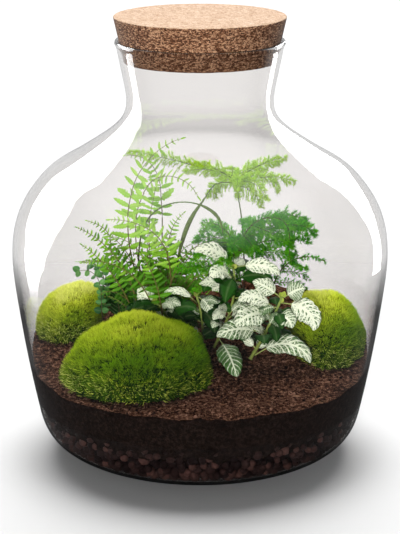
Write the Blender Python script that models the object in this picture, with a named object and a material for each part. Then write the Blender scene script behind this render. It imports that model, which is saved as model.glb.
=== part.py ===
"""Closed glass terrarium: a wide bottle jar with a cork, drainage pebbles, soil,
three cushions of moss, fern, asparagus fern, a small creeper and a nerve plant.

Metres, +Z up. The origin is the centre of the jar's flat bottom; the front is -Y.
Headings are degrees anticlockwise from +X, seen from above.
"""
import math

import bmesh
import bpy
import numpy as np

MM = 0.001
GAP = 0.3 * MM            # clearance between pieces that rest on or in one another
SEGMENTS = 48             # facets round the jar and everything turned with it

# Glass jar
WALL = 3.0 * MM
NECK_WALL = 2.5 * MM
BASE_WALL = 5.0 * MM
NECK_START = 250.0 * MM   # height where the wall has thinned to the neck's
# Outer outline as (radius, height) in millimetres: flat bottom, round heel,
# body widening to the belly, sloping shoulder, narrow neck flaring to the rim.
JAR_OUTLINE = [
    (62, 0), (81, 1.8), (96, 6), (107.5, 12.5), (114.5, 22), (119, 40), (125.2, 72),
    (130.8, 108), (134.6, 140), (135, 153), (132.5, 171), (127.5, 184.5), (118.5, 198),
    (108, 209.5), (91.3, 219.5), (74.8, 230), (59.8, 241), (52.8, 249.5), (51.6, 257),
    (52.6, 266), (54.9, 277), (59.5, 300.5),
]
LIP_RISE = 0.9 * MM       # crown of the rounded rim above the outline's end

# Cork: a straight taper that sits on the inner edge of the rim
CORK_ABOVE = 18.0 * MM
CORK_BELOW = 13.0 * MM
CORK_TOP_RADIUS = 60.8 * MM
CORK_TAPER = 0.226        # radius lost for each metre of height
CORK_EDGE = 0.9 * MM

# Filling
PEBBLE_TOP = 30.0 * MM
SOIL_FRONT = 65.0 * MM    # soil level at the front glass
SOIL_RISE = 25.0 * MM     # how much higher it lies at the back
SOIL_SLOPE_FROM = -90.0 * MM
SOIL_SLOPE_LONG = 150.0 * MM

MOSS_TO_GLASS = 1.5 * MM  # what a moss cushion keeps off the jar

# Moss cushions: centre x, y, half width, half depth, height (mm), heading (degrees)
MOSS = {
    "moss_cushion_front": (-43, -49, 54, 43, 38, 10),
    "moss_cushion_left": (-99, 25, 25, 32, 25, -10),
    "moss_cushion_right": (93, -4, 29, 37, 34, 0),
}

# Arching pieces: root x, y (mm), heading, rise, fall, turn (degrees), length, half width (mm),
# and the share of the length that is bare stalk. A piece leaves the soil at the rise angle,
# bends over by fall and swings round by turn.
FERN_FRONDS = {
    "fern_frond_tall": (-37, 25, 329, 112, 95, 27, 156, 9, 0.35),
    "fern_frond_arching": (-33, 17, 304, 122, 169, 22, 166, 8, 0.40),
    "fern_frond_spreading": (-21, 10, 269, 93, 103, -118, 119, 9, 0.40),
    "fern_frond_high": (-28, 37, 274, 117, 113, -61, 149, 5, 0.50),
    "fern_frond_left_high": (-40, 14, 193, 75, 51, -2, 97, 4, 0.45),
    "fern_frond_left_back": (-38, 32, 359, 140, 134, -206, 95, 4, 0.40),
    "fern_frond_left_low": (-29, 4, 212, 76, 97, -54, 93, 5, 0.40),
    "fern_frond_short": (-26, 0, 214, 85, 31, -19, 68, 6, 0.40),
    "fern_frond_upright": (-30, 29, 348, 101, 33, 0, 107, 6, 0.45),
    "fern_frond_right": (-22, 23, 283, 106, 62, 61, 89, 5, 0.40),
    "fern_frond_left_mid": (-42, 7, 184, 68, 31, 9, 82, 5, 0.40),
}
DARK_FERN_FRONDS = {
    "dark_fern_frond_middle": (-59, 18, 289, 109, 28, 1, 40, 7, 0.20),
    "dark_fern_frond_left": (-61, 26, 156, 78, 30, 2, 35, 6, 0.20),
    "dark_fern_frond_right": (-51, 9, 202, 107, 33, 0, 38, 6, 0.20),
}
ASPARAGUS_SHOOTS = {
    "asparagus_shoot_tall": (33, 42, 100, 93, 112, 0, 128, 42, 0.62),
    "asparagus_shoot_dark": (35, 35, 77, 125, 304, -263, 156, 11, 0.35),
    "asparagus_shoot_left": (28, 30, 79, 132, 209, 90, 116, 8, 0.35),
    "asparagus_shoot_bowed": (-37, 17, 309, 111, 200, 75, 160, 1, 0.35),
    "asparagus_shoot_young": (-19, 15, 3, 90, 48, -16, 117, 1, 0.30),
    "asparagus_shoot_grey": (51, 28, 322, 85, 118, 29, 81, 6, 0.50),
}
CREEPER_SPRIGS = {
    "creeper_sprig_long": (-70, 12, 72, 120, 141, 125, 61, 3, 0.30),
    "creeper_sprig_short": (-66, 20, 56, 120, 121, 103, 56, 3, 0.30),
}
NERVE_STEMS = {
    "nerve_plant_stem_left": (10, -12, 20, 60, -47, 39, 62, 1.0),
    "nerve_plant_stem_right": (36, -27, 190, 121, 11, 5, 50, 1.3),
    "nerve_plant_stem_low": (2, -6, 133, 90, 37, -9, 35, 0.8),
    "nerve_plant_stem_outer": (-18, 2, 188, 74, 38, 0, 30, 0.8),
}
# Leaves of the nerve plant: place along the stem (0 to 1), heading, rise, fall (degrees),
# length and width (mm).
NERVE_LEAVES = {
    "nerve_plant_stem_left": [
        (0.97, 193, 66, 98, 36, 16), (1.00, 357, 11, 64, 35, 12), (1.00, 54, 20, 20, 13, 8),
        (0.86, 208, 48, 133, 23, 12), (0.80, 178, 8, 32, 25, 9), (0.62, 209, 59, 107, 21, 9),
        (0.62, 345, 13, 91, 15, 10), (0.38, 317, 40, 59, 21, 10), (0.45, 227, 13, 62, 18, 8),
        (0.28, 236, 40, 102, 17, 8), (0.12, 285, -4, 36, 49, 19),
    ],
    "nerve_plant_stem_right": [
        (0.99, 170, 37, 28, 23, 13), (1.00, 2, 35, 35, 17, 15), (0.80, 196, 44, 83, 32, 12),
        (0.92, 335, 3, 118, 36, 16), (0.72, 309, 17, 98, 21, 15), (0.72, 211, 17, 73, 34, 18),
        (0.42, 206, 21, 52, 39, 15), (0.08, 333, 38, 115, 52, 14),
    ],
    "nerve_plant_stem_low": [
        (0.97, 315, -14, 80, 18, 9), (0.45, 150, 30, 10, 17, 13), (0.85, 170, 45, 120, 31, 6),
    ],
    "nerve_plant_stem_outer": [
        (1.00, 164, 36, 8, 17, 14), (0.45, 208, 120, 114, 17, 6),
    ],
}

STALK_HALF = 0.5 * MM     # half thickness of stalks and blades
NERVE_STEM_TIP = 0.7 * MM  # radius of a nerve plant stem at its top; the table gives its foot
LEAF_STALK = 0.22         # share of a nerve plant leaf that is its stalk
LEAF_FACING = 45.0        # how far leaves tip their upper side to the front (degrees)

# Plain finishes: colour, roughness
FINISHES = {
    "clear_glass": ((0.93, 0.95, 0.94), 0.02),
    "cork": ((0.66, 0.45, 0.28), 0.85),
    "clay_pebble": ((0.16, 0.08, 0.06), 0.90),
    "soil": ((0.07, 0.035, 0.022), 0.95),
    "moss": ((0.20, 0.30, 0.02), 0.90),
    "fern_green": ((0.25, 0.50, 0.08), 0.55),
    "dark_fern_green": ((0.02, 0.16, 0.04), 0.50),
    "asparagus_green": ((0.12, 0.38, 0.04), 0.60),
    "creeper_green": ((0.10, 0.30, 0.06), 0.50),
    "nerve_stem_green": ((0.30, 0.36, 0.12), 0.50),
    "nerve_leaf": ((0.60, 0.72, 0.52), 0.50),
}


# Where the jar's rings lie along its outline: close together where it curves most
JAR_STEPS = np.concatenate([np.linspace(0, 0.20, 8), np.linspace(0.24, 0.50, 7),
                            np.linspace(0.53, 0.82, 11), np.linspace(0.86, 1, 5)])


def smooth_line(points, steps):
    """Cubic through the points, sampled at the given fractions of its length."""
    p = np.array(points, float)
    along = np.concatenate([[0], np.cumsum(np.linalg.norm(np.diff(p, axis=0), axis=1))])
    slope = np.gradient(p, along, axis=0)
    s = np.asarray(steps) * along[-1]
    k = np.clip(np.searchsorted(along, s, side="right") - 1, 0, len(along) - 2)
    span = (along[k + 1] - along[k])[:, None]
    u = (s - along[k])[:, None] / span
    return ((2 * u**3 - 3 * u**2 + 1) * p[k] + (u**3 - 2 * u**2 + u) * span * slope[k]
            + (3 * u**2 - 2 * u**3) * p[k + 1] + (u**3 - u**2) * span * slope[k + 1])


def jar_outer(steps):
    """Radius and height of the outer outline, in metres."""
    return smooth_line(JAR_OUTLINE, steps) * MM


def jar_inner(steps):
    """The outer outline moved inwards by the wall, which is thickest at the base."""
    outer = jar_outer(steps)
    slope = np.gradient(outer, axis=0)
    slope /= np.linalg.norm(slope, axis=1)[:, None]
    heel_height = JAR_OUTLINE[4][1] * MM
    thickness = np.interp(outer[:, 1], [0, heel_height, NECK_START / 2, NECK_START],
                          [BASE_WALL, WALL, WALL, NECK_WALL])
    return outer + np.stack([-slope[:, 1], slope[:, 0]], axis=1) * thickness[:, None]


INNER_LINE = jar_inner(JAR_STEPS)


def inner_radius(height):
    """Radius of the jar's inside at a height."""
    return np.interp(height, INNER_LINE[:, 1], INNER_LINE[:, 0])


def pebble_height(x, y):
    """Level of the pebbles' top, which is flat."""
    return PEBBLE_TOP + 0 * x


def soil_height(x, y):
    """Level of the soil's top: low at the front, with an S-shaped rise to the back."""
    t = np.clip((y - SOIL_SLOPE_FROM) / SOIL_SLOPE_LONG, 0, 1)
    return SOIL_FRONT + SOIL_RISE * t * t * (3 - 2 * t) + 0 * x


def material(name):
    """A Principled material with the finish's colour and roughness."""
    found = bpy.data.materials.get(name)
    if found:
        return found
    made = bpy.data.materials.new(name)
    made.use_nodes = True
    shader = made.node_tree.nodes["Principled BSDF"]
    colour, roughness = FINISHES[name]
    shader.inputs["Base Color"].default_value = (*colour, 1.0)
    shader.inputs["Roughness"].default_value = roughness
    if name == "clear_glass":
        shader.inputs["Transmission Weight"].default_value = 1.0
    return made


def skin(name, finish, rings):
    """Joins rings of equal length into one closed body; end rings may be single points."""
    mesh = bmesh.new()
    rows = [[mesh.verts.new(tuple(point)) for point in ring] for ring in rings]
    for low, high in zip(rows[:-1], rows[1:]):
        count = max(len(low), len(high))
        for i in range(count):
            j = (i + 1) % count
            corners = [low[i % len(low)], low[j % len(low)], high[j % len(high)], high[i % len(high)]]
            mesh.faces.new(list(dict.fromkeys(corners)))
    if len(rows[0]) > 1:
        mesh.faces.new(rows[0][::-1])
    if len(rows[-1]) > 1:
        mesh.faces.new(rows[-1])
    bmesh.ops.triangulate(mesh, faces=mesh.faces[:])
    bmesh.ops.recalc_face_normals(mesh, faces=mesh.faces[:])
    data = bpy.data.meshes.new(name)
    mesh.to_mesh(data)
    mesh.free()
    data.shade_smooth()
    data.set_sharp_from_angle(angle=math.radians(40))
    data.materials.append(material(finish))
    made = bpy.data.objects.new(name, data)
    bpy.context.collection.objects.link(made)
    return made


def circle(radius, height):
    """One ring of a turned piece; height may vary round it."""
    angle = np.arange(SEGMENTS) * 2 * math.pi / SEGMENTS
    radius = np.broadcast_to(radius, angle.shape)
    height = np.broadcast_to(height, angle.shape)
    return np.stack([radius * np.cos(angle), radius * np.sin(angle), height], axis=1)


def turned(name, finish, outline):
    """A body turned round the Z axis from (radius, height) pairs, bottom to top."""
    rings = [[(0, 0, h)] if r == 0 else circle(r, h) for r, h in outline]
    return skin(name, finish, rings)


def glass_jar():
    """One wall: up the outside, over the rounded lip and down the inside."""
    outside = jar_outer(JAR_STEPS)
    inside = jar_inner(JAR_STEPS)
    lip = [((outside[-1, 0] + inside[-1, 0]) / 2, outside[-1, 1] + LIP_RISE)]
    outline = [(0, 0), *outside.tolist(), *lip, *inside[::-1].tolist(), (0, BASE_WALL)]
    return turned("glass_jar", "clear_glass", outline)


def cork_stopper():
    """A tapered plug with small chamfers, resting on the rim's inner edge."""
    rim = jar_outer([1.0])[0, 1]
    top = rim + CORK_ABOVE
    bottom = rim - CORK_BELOW
    bottom_radius = CORK_TOP_RADIUS - CORK_TAPER * (top - bottom)
    outline = [
        (0, bottom), (bottom_radius - CORK_EDGE, bottom), (bottom_radius, bottom + CORK_EDGE),
        (CORK_TOP_RADIUS - CORK_TAPER * CORK_ABOVE, rim),
        (CORK_TOP_RADIUS, top - CORK_EDGE), (CORK_TOP_RADIUS - CORK_EDGE, top), (0, top),
    ]
    return turned("cork_stopper", "cork", outline)


def filled_radius(height):
    """Radius of what fills the jar at a height, clear of the glass sideways and below."""
    return inner_radius(height - GAP) - GAP


def fill(name, finish, low, top):
    """A layer that fills the jar from a level up to the surface that top(x, y) gives."""
    angle = np.arange(SEGMENTS) * 2 * math.pi / SEGMENTS
    edge = inner_radius(SOIL_FRONT)
    rim_height = top(edge * np.cos(angle), edge * np.sin(angle))
    rings = [[(0, 0, low)]]
    rings += [circle(filled_radius(low) * share, low) for share in (0.5, 1.0)]
    for share in np.linspace(0, 1, 9)[1:]:
        height = low + (rim_height - low) * share
        rings.append(circle(filled_radius(height), height))
    for share in (0.86, 0.7, 0.54, 0.38, 0.22, 0.08):
        radius = filled_radius(rim_height) * share
        rings.append(circle(radius, top(radius * np.cos(angle), radius * np.sin(angle))))
    rings.append([(0, 0, float(top(0.0, 0.0)))])
    return skin(name, finish, rings)


def moss_cushion(name, centre_x, centre_y, half_width, half_depth, height, heading):
    """A dome on an oval foot that follows the soil and stays off the glass."""
    sides = 20
    angle = np.arange(sides) * 2 * math.pi / sides
    turn = math.radians(heading)

    def ring(scale, rise):
        across, along = half_width * MM * scale * np.cos(angle), half_depth * MM * scale * np.sin(angle)
        x = centre_x * MM + across * math.cos(turn) - along * math.sin(turn)
        y = centre_y * MM + across * math.sin(turn) + along * math.cos(turn)
        z = soil_height(x, y) + 1.5 * GAP + rise * height * MM
        limit = inner_radius(z) - MOSS_TO_GLASS
        shrink = np.minimum(1, limit / np.hypot(x, y))
        return np.stack([x * shrink, y * shrink, z], axis=1)

    lift = np.radians([0, 14, 30, 48, 68])
    rings = [[ring(0, 0)[0]], ring(0.5, 0)]
    rings += [ring(math.cos(a) ** 0.7, math.sin(a)) for a in lift]
    rings.append([ring(0, 1)[0]])
    return skin(name, "moss", rings)


def bow(start, heading, rise, fall, turn, length, count):
    """Points along an arch: the direction bends down by fall and round by turn, both growing
    with the square of the way along."""
    middle = (np.arange(count - 1) + 0.5) / (count - 1)
    lift = np.radians(rise - fall * middle**2)
    way = np.radians(heading + turn * middle**2)
    step = np.stack([np.cos(lift) * np.cos(way), np.cos(lift) * np.sin(way), np.sin(lift)], axis=1)
    return start + np.concatenate([[[0, 0, 0]], np.cumsum(step, axis=0) * length / (count - 1)])


def blade(name, finish, path, half_width, half_thickness, facing=0.0, sides=4):
    """A thin closed body along a path; its flat side faces up, tipped forward by facing."""
    along = np.gradient(path, axis=0)
    along /= np.linalg.norm(along, axis=1)[:, None]
    tilt = math.radians(facing)
    across = np.cross(along, (0, -math.sin(tilt), math.cos(tilt)))
    across /= np.linalg.norm(across, axis=1)[:, None]
    up = np.cross(across, along)
    rings = []
    for i, point in enumerate(path):
        angle = np.arange(sides)[:, None] * 2 * math.pi / sides
        rings.append(point + np.cos(angle) * across[i] * half_width[i]
                     + np.sin(angle) * up[i] * half_thickness[i])
    return skin(name, finish, rings)


def rooted(x, y, radius, rise):
    """A start point whose round end, square to the rise angle, is just clear of the soil."""
    clear = 1.5 * GAP + radius * abs(math.cos(math.radians(rise)))
    return np.array([x * MM, y * MM, float(soil_height(x * MM, y * MM)) + clear])


def frond(name, finish, row, teeth, facing):
    """A stalk that widens into a leafy blade with a toothed edge and a narrow tip."""
    x, y, heading, rise, fall, turn, length, half, stalk = row
    count = 2 * teeth + 6
    root = rooted(x, y, STALK_HALF, rise)
    path = bow(root, heading, rise, fall, turn, length * MM, count)
    place = np.linspace(0, 1, count)
    leafy = np.clip((place - stalk) / (1 - stalk), 0, 1)
    tooth = np.where(np.arange(count) % 2, 1.0, 0.4)
    half_width = np.maximum(STALK_HALF, half * MM * np.sin(math.pi * leafy**0.6) * tooth)
    return blade(name, finish, path, half_width, np.full(count, STALK_HALF), facing)


def stem_path(row):
    """The middle line of a nerve plant stem."""
    x, y, heading, rise, fall, turn, length, radius = row
    root = rooted(x, y, radius * MM, rise)
    return bow(root, heading, rise, fall, turn, length * MM, 13)


def nerve_leaf(name, stem, stem_radius, row):
    """An oval leaf on its own short stalk, starting just clear of the stem."""
    place, heading, rise, fall, length, width = row
    radius = np.interp(place, [0, 1], [stem_radius[0], stem_radius[-1]])
    at = min(place * (len(stem) - 1), len(stem) - 1.001)
    step = stem[int(at) + 1] - stem[int(at)]
    along = step / np.linalg.norm(step)
    lift, way = math.radians(rise), math.radians(heading)
    out = np.array([math.cos(lift) * math.cos(way), math.cos(lift) * math.sin(way), math.sin(lift)])
    lean = out.dot(along)
    side = (out - along * lean) / math.sqrt(1 - lean**2)
    start = stem[int(at)] + step * (at % 1) + side * (radius + GAP + STALK_HALF * abs(lean))
    path = bow(start, heading, rise, fall, 0, length * MM, 11)
    leafy = np.clip((np.linspace(0, 1, 11) - LEAF_STALK) / (1 - LEAF_STALK), 0, 1)
    half_width = np.maximum(STALK_HALF, width * MM / 2 * np.sin(math.pi * leafy**0.75))
    return blade(name, "nerve_leaf", path, half_width, np.full(11, STALK_HALF * 0.8), LEAF_FACING)


def nerve_plant():
    """Stems with their leaves, each leaf its own piece."""
    for stem_name, row in NERVE_STEMS.items():
        path = stem_path(row)
        radius = np.linspace(row[-1] * MM, NERVE_STEM_TIP, len(path))
        blade(stem_name, "nerve_stem_green", path, radius, radius, sides=8)
        side = stem_name.rsplit("_", 1)[1]
        for number, leaf in enumerate(NERVE_LEAVES[stem_name], start=1):
            nerve_leaf(f"nerve_plant_leaf_{side}_{number}", path, radius, leaf)


def main():
    """Clears the scene and builds every piece."""
    for old in list(bpy.data.objects):
        bpy.data.objects.remove(old)
    glass_jar()
    cork_stopper()
    fill("drainage_pebbles", "clay_pebble", BASE_WALL + GAP, pebble_height)
    fill("potting_soil", "soil", PEBBLE_TOP + GAP, soil_height)
    for name, row in MOSS.items():
        moss_cushion(name, *row)
    for name, row in FERN_FRONDS.items():
        frond(name, "fern_green", row, 8, 50)
    for name, row in DARK_FERN_FRONDS.items():
        frond(name, "dark_fern_green", row, 7, 80)
    for name, row in ASPARAGUS_SHOOTS.items():
        frond(name, "asparagus_green", row, 8, 20)
    for name, row in CREEPER_SPRIGS.items():
        frond(name, "creeper_green", row, 6, 60)
    nerve_plant()


main()
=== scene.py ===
# %% [markdown]
# # A planted jar that waters itself
#
# A wide bottle of clear glass, closed with a cork, holds clay pebbles, dark soil, cushions of
# moss and a handful of small plants. The construction model gives every piece its size and
# place, and this lesson gives each one its surface. All lengths are metres unless a name says
# otherwise, +Z is up and the front of the jar is -Y. Headings are degrees anticlockwise from +X.

# %% Load the construction model
import math

import bpy
import numpy as np
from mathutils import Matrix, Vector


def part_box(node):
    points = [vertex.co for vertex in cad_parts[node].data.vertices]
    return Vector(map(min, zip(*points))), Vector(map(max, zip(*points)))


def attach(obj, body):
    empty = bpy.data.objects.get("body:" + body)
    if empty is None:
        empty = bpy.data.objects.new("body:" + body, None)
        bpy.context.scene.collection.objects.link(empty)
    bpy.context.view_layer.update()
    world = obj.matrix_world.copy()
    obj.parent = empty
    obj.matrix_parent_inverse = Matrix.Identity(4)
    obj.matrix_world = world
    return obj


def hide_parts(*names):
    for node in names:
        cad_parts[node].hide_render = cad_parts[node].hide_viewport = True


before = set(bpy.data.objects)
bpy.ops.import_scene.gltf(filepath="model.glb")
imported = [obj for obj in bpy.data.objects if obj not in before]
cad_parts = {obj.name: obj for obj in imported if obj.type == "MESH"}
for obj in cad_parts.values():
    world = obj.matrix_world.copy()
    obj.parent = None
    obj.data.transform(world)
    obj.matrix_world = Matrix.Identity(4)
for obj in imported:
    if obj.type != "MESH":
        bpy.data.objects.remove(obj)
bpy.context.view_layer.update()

MM = 0.001

# %% [markdown]
# ## Collecting a surface
#
# Every piece below is worked out as whole arrays of points. A Skin collects them with their
# faces and hands them to Blender in one go. Each point also carries three marks that the
# finishes read: how far along the leaf or stalk it lies, how far across from the midrib, and
# a tint that differs from leaf to leaf.

# %% A collector of points and faces
class Skin:
    """Points, faces and marks of one piece, added surface by surface."""

    def __init__(self):
        self.points = []
        self.faces = []
        self.marks = []
        self.count = 0

    def add(self, points, faces, finish=0, along=0.0, across=0.0, tint=0.5, smooth=True):
        """Adds one surface of (n, 3) points, or a batch of (copies, n, 3) that share their faces,
        given as a list of arrays of point numbers."""
        points = np.asarray(points, float)
        copies = 1 if points.ndim == 2 else len(points)
        each = points.shape[-2]
        self.points.append(points.reshape(-1, 3))
        for some in faces:
            numbers = np.asarray(some) + np.arange(copies)[:, None, None] * each + self.count
            self.faces.append((numbers.reshape(-1, numbers.shape[-1]), finish, smooth))
        marks = [np.broadcast_to(mark, (copies, each)).ravel() for mark in (along, across, tint)]
        self.marks.append(np.stack(marks, axis=1))
        self.count += copies * each

    def piece(self, name, node, finishes):
        """Makes the object, rides it on the jar's body and lets it stand for a node."""
        mesh = bpy.data.meshes.new(name)
        points = np.concatenate(self.points)
        mesh.vertices.add(len(points))
        mesh.vertices.foreach_set("co", points.astype(np.float32).ravel())
        corners = np.concatenate([numbers.ravel() for numbers, _, _ in self.faces])
        count = [len(numbers) for numbers, _, _ in self.faces]
        sizes = np.repeat([numbers.shape[1] for numbers, _, _ in self.faces], count)
        which = np.repeat([finish for _, finish, _ in self.faces], count)
        smooth = np.repeat([smooth for _, _, smooth in self.faces], count)
        mesh.loops.add(len(corners))
        mesh.loops.foreach_set("vertex_index", corners.astype(np.int32))
        mesh.polygons.add(len(sizes))
        mesh.polygons.foreach_set("loop_start", (np.cumsum(sizes) - sizes).astype(np.int32))
        mesh.polygons.foreach_set("material_index", which.astype(np.int32))
        mesh.polygons.foreach_set("use_smooth", smooth)
        mesh.update(calc_edges=True)
        marks = np.concatenate(self.marks).astype(np.float32)
        for column, label in enumerate(("along", "across", "tint")):
            mesh.attributes.new(label, "FLOAT", "POINT").data.foreach_set("value", marks[:, column])
        for finish in finishes:
            mesh.materials.append(finish)
        made = bpy.data.objects.new(name, mesh)
        bpy.context.collection.objects.link(made)
        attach(made, "root")
        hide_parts(node)
        print(f"{name}: {int((sizes - 2).sum())} triangles")


# %% [markdown]
# ## Grids, turned bodies and tubes
#
# A grid of points becomes a surface once its neighbours are joined by quads. A turned body is
# such a grid with one column for each step round the axis, and a tube is one with a ring at
# each point of a path. Both end in single points, joined by a fan, so that no hole is left.

# %% Faces of a grid
def grid_faces(rows, columns):
    """Quads between each row and the next and each column and the next, the last column being
    followed by the first."""
    row = np.arange(rows - 1)[:, None]
    column = np.arange(columns)[None, :]
    after = (column + 1) % columns
    corners = [row * columns + column, row * columns + after,
               (row + 1) * columns + after, (row + 1) * columns + column]
    return np.stack(corners, axis=-1).reshape(-1, 4)


def fan(pole, ring, inside_out=False):
    """Triangles from one point to each pair of neighbours in a ring."""
    after = np.roll(ring, -1)
    first, second = (after, ring) if inside_out else (ring, after)
    return np.stack([np.full(len(ring), pole), first, second], axis=1)


def unit(vectors):
    """Vectors of length one: each divided by the root of the sum of its squares."""
    return vectors / np.linalg.norm(vectors, axis=-1, keepdims=True)


def wrap_faces(rows, sides):
    """Faces of a closed skin over rings of points, which are followed by its two end points:
    quads between the rings and a fan at each end."""
    ring = np.arange(sides)
    ends = rows * sides
    return [grid_faces(rows, sides), fan(ends, ring, inside_out=True),
            fan(ends + 1, ends - sides + ring)]


def wrap(skin, rings, start, end, **more):
    """Adds a closed skin over (rows, sides, 3) rings with a point at each end."""
    rows, sides = rings.shape[:2]
    points = np.concatenate([rings.reshape(-1, 3), [start], [end]])
    more.setdefault("along", np.concatenate([np.repeat(np.linspace(0, 1, rows), sides), [0, 1]]))
    skin.add(points, wrap_faces(rows, sides), **more)


# %% A body turned round the upright axis
def turned_rings(outline, sides):
    """Rings that an outline of (radius, height) rows leaves when it is turned round Z:
    x = radius cos(angle), y = radius sin(angle)."""
    angle = np.arange(sides) * 2 * math.pi / sides
    radius, height = np.asarray(outline, float).T[:, :, None]
    return np.stack([radius * np.cos(angle), radius * np.sin(angle), height + 0 * angle], axis=-1)


# %% Directions along a path, and tubes
def frames(path, facing=0.0):
    """For each point of a path: along it, across it, and up out of its flat side, which is
    tipped forward by facing degrees. across = along x (0, -sin facing, cos facing)."""
    along = unit(np.gradient(path, axis=0))
    tilt = math.radians(facing)
    across = unit(np.cross(along, (0, -math.sin(tilt), math.cos(tilt))))
    return along, across, np.cross(across, along)


def tube(skin, path, radius, sides, **more):
    """Adds a round stalk: at each point a ring = point + radius (cos(a) across + sin(a) up)."""
    along, across, up = frames(path)
    angle = -np.arange(sides)[:, None] * 2 * math.pi / sides
    radius = np.broadcast_to(radius, len(path))[:, None, None]
    rings = path[:, None] + radius * (np.cos(angle) * across[:, None] + np.sin(angle) * up[:, None])
    wrap(skin, rings, path[0], path[-1], **more)


# %% Many fine twigs at once
TWIG_SIDES = 3
TWIG_TIP = 0.4            # how thick a twig still is at its tip, as a share of its foot


def twigs(skin, paths, radius, dice, **more):
    """Adds a thin closed stalk along each of (n, steps, 3) paths, with rings as in tube."""
    way = unit(np.gradient(paths, axis=1))
    across = unit(np.cross(way, dice.normal(size=(len(paths), 1, 3))))
    up = np.cross(way, across)
    angle = np.arange(TWIG_SIDES)[:, None] * 2 * math.pi / TWIG_SIDES
    steps = paths.shape[1]
    thick = np.broadcast_to(radius, len(paths))[:, None] * np.linspace(1, TWIG_TIP, steps)
    round_it = np.cos(angle) * across[:, :, None] + np.sin(angle) * up[:, :, None]
    rings = paths[:, :, None] + thick[..., None, None] * round_it
    points = np.concatenate([rings.reshape(len(paths), -1, 3), paths[:, :1], paths[:, -1:]], axis=1)
    skin.add(points, wrap_faces(steps, TWIG_SIDES), **more)


# %% Many needles at once
def spikes(skin, base, ahead, half_width, dice, **more):
    """Adds a closed four-sided needle at each base: three corners round it and a tip at
    base + ahead. Its foot is marked 0 along and its tip 1."""
    way = unit(ahead)
    across = unit(np.cross(way, dice.normal(size=way.shape)))
    up = np.cross(way, across)
    corners = [base + half_width * across, base - half_width * across, base + half_width * up,
               base + ahead]
    sides = np.array([[0, 1, 2], [0, 3, 1], [1, 3, 2], [2, 3, 0]])
    skin.add(np.stack(corners, axis=1), [sides], along=np.array([0, 0, 0, 1.0]), **more)


# %% Many small leaves at once
LEAF_HALF_MM = 0.08       # half the thickness of a small leaf


def leaflets(skin, base, ahead, face, length, profile, sag=0.1, cup=0.0, **more):
    """Adds a closed thin leaf at each base. Its midrib is base + length (t ahead - sag t*t face),
    the profile gives its half width at even steps of t as a share of its length, and its edges
    lie lower than its midrib by cup times the half width."""
    ahead = unit(ahead)
    face = unit(face - (face * ahead).sum(axis=-1, keepdims=True) * ahead)
    ahead, face, foot = ahead[:, None], face[:, None], base[:, None]
    length = np.broadcast_to(length, len(base))[:, None, None]
    sag = np.broadcast_to(sag, len(base))[:, None, None]
    t = np.linspace(0, 1, len(profile) + 2)[1:-1, None]
    middle = foot + length * (t * ahead - sag * t * t * face)
    half = length * np.asarray(profile)[:, None]
    side = np.cross(face, ahead)
    thick = LEAF_HALF_MM * MM * face
    lower = cup * half * face
    ring = np.stack([middle + half * side - lower, middle + thick,
                     middle - half * side - lower, middle - thick], axis=2)
    tip = foot + length * (ahead - sag * face)
    points = np.concatenate([ring.reshape(len(base), -1, 3), foot, tip], axis=1)
    skin.add(points, wrap_faces(len(profile), 4), along=np.append(np.repeat(t.ravel(), 4), [0, 1]),
             across=np.append(np.tile([1.0, 0, -1.0, 0], len(profile)), [0, 0]), smooth=False, **more)


# %% [markdown]
# ## Uneven surfaces
#
# Soil, cork and moss are uneven at several sizes at once. Noise on a lattice gives each corner
# of a cube a random height and blends between the corners; adding it at halved sizes gives
# lumps on lumps. It depends on the place alone, so every run gives the same surface.

# %% Noise on a lattice
def corner_value(cell, seed):
    """A number from -1 to 1 that only depends on a lattice corner's whole-number place."""
    mixed = (cell[..., 0] * 73856093) ^ (cell[..., 1] * 19349663) ^ (cell[..., 2] * 83492791)
    mixed = (mixed ^ (seed * 668265263)) & 0xFFFFFFFF
    mixed = ((mixed ^ (mixed >> 15)) * 2246822519) & 0xFFFFFFFF
    mixed = ((mixed ^ (mixed >> 13)) * 3266489917) & 0xFFFFFFFF
    return (mixed >> 8) / 0x7FFFFF - 1.0


def lumps(points, size, seed=0):
    """Smooth noise: the eight corners of each cube of this size, blended by t*t*(3 - 2t)."""
    place = np.asarray(points) / size
    cell = np.floor(place).astype(np.int64)
    t = place - cell
    t = t * t * (3 - 2 * t)
    total = 0.0
    for corner in np.ndindex(2, 2, 2):
        share = np.prod(np.where(corner, t, 1 - t), axis=-1)
        total = total + share * corner_value(cell + np.array(corner), seed)
    return total


def rough(points, size, layers, seed):
    """Lumps on lumps: each layer half the size and half the height of the one before."""
    return sum(lumps(points, size / 2**k, seed + k) / 2**k for k in range(layers))


def scatter_on(points, faces, count, dice):
    """Random places on a surface of quads, as many on each face as its share of the area, with
    the surface's direction at each: corner a plus random shares of its two edges."""
    a, b, c, d = (points[faces[:, k]] for k in range(4))
    normal = np.cross(c - a, d - b)
    area = np.linalg.norm(normal, axis=1)
    picked = dice.choice(len(faces), size=count, p=area / area.sum())
    u, v = dice.random((2, count, 1))
    place = ((1 - u) * (1 - v) * a[picked] + u * (1 - v) * b[picked]
             + u * v * c[picked] + (1 - u) * v * d[picked])
    return place, unit(normal[picked])


# %% [markdown]
# ## Shader sums in plain Python
#
# A finish is a small program of nodes. Wrapping a socket in a class that knows + - * / lets
# that program be written as a sum, and one method adds any other node from its type, its
# settings and its sockets.

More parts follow.
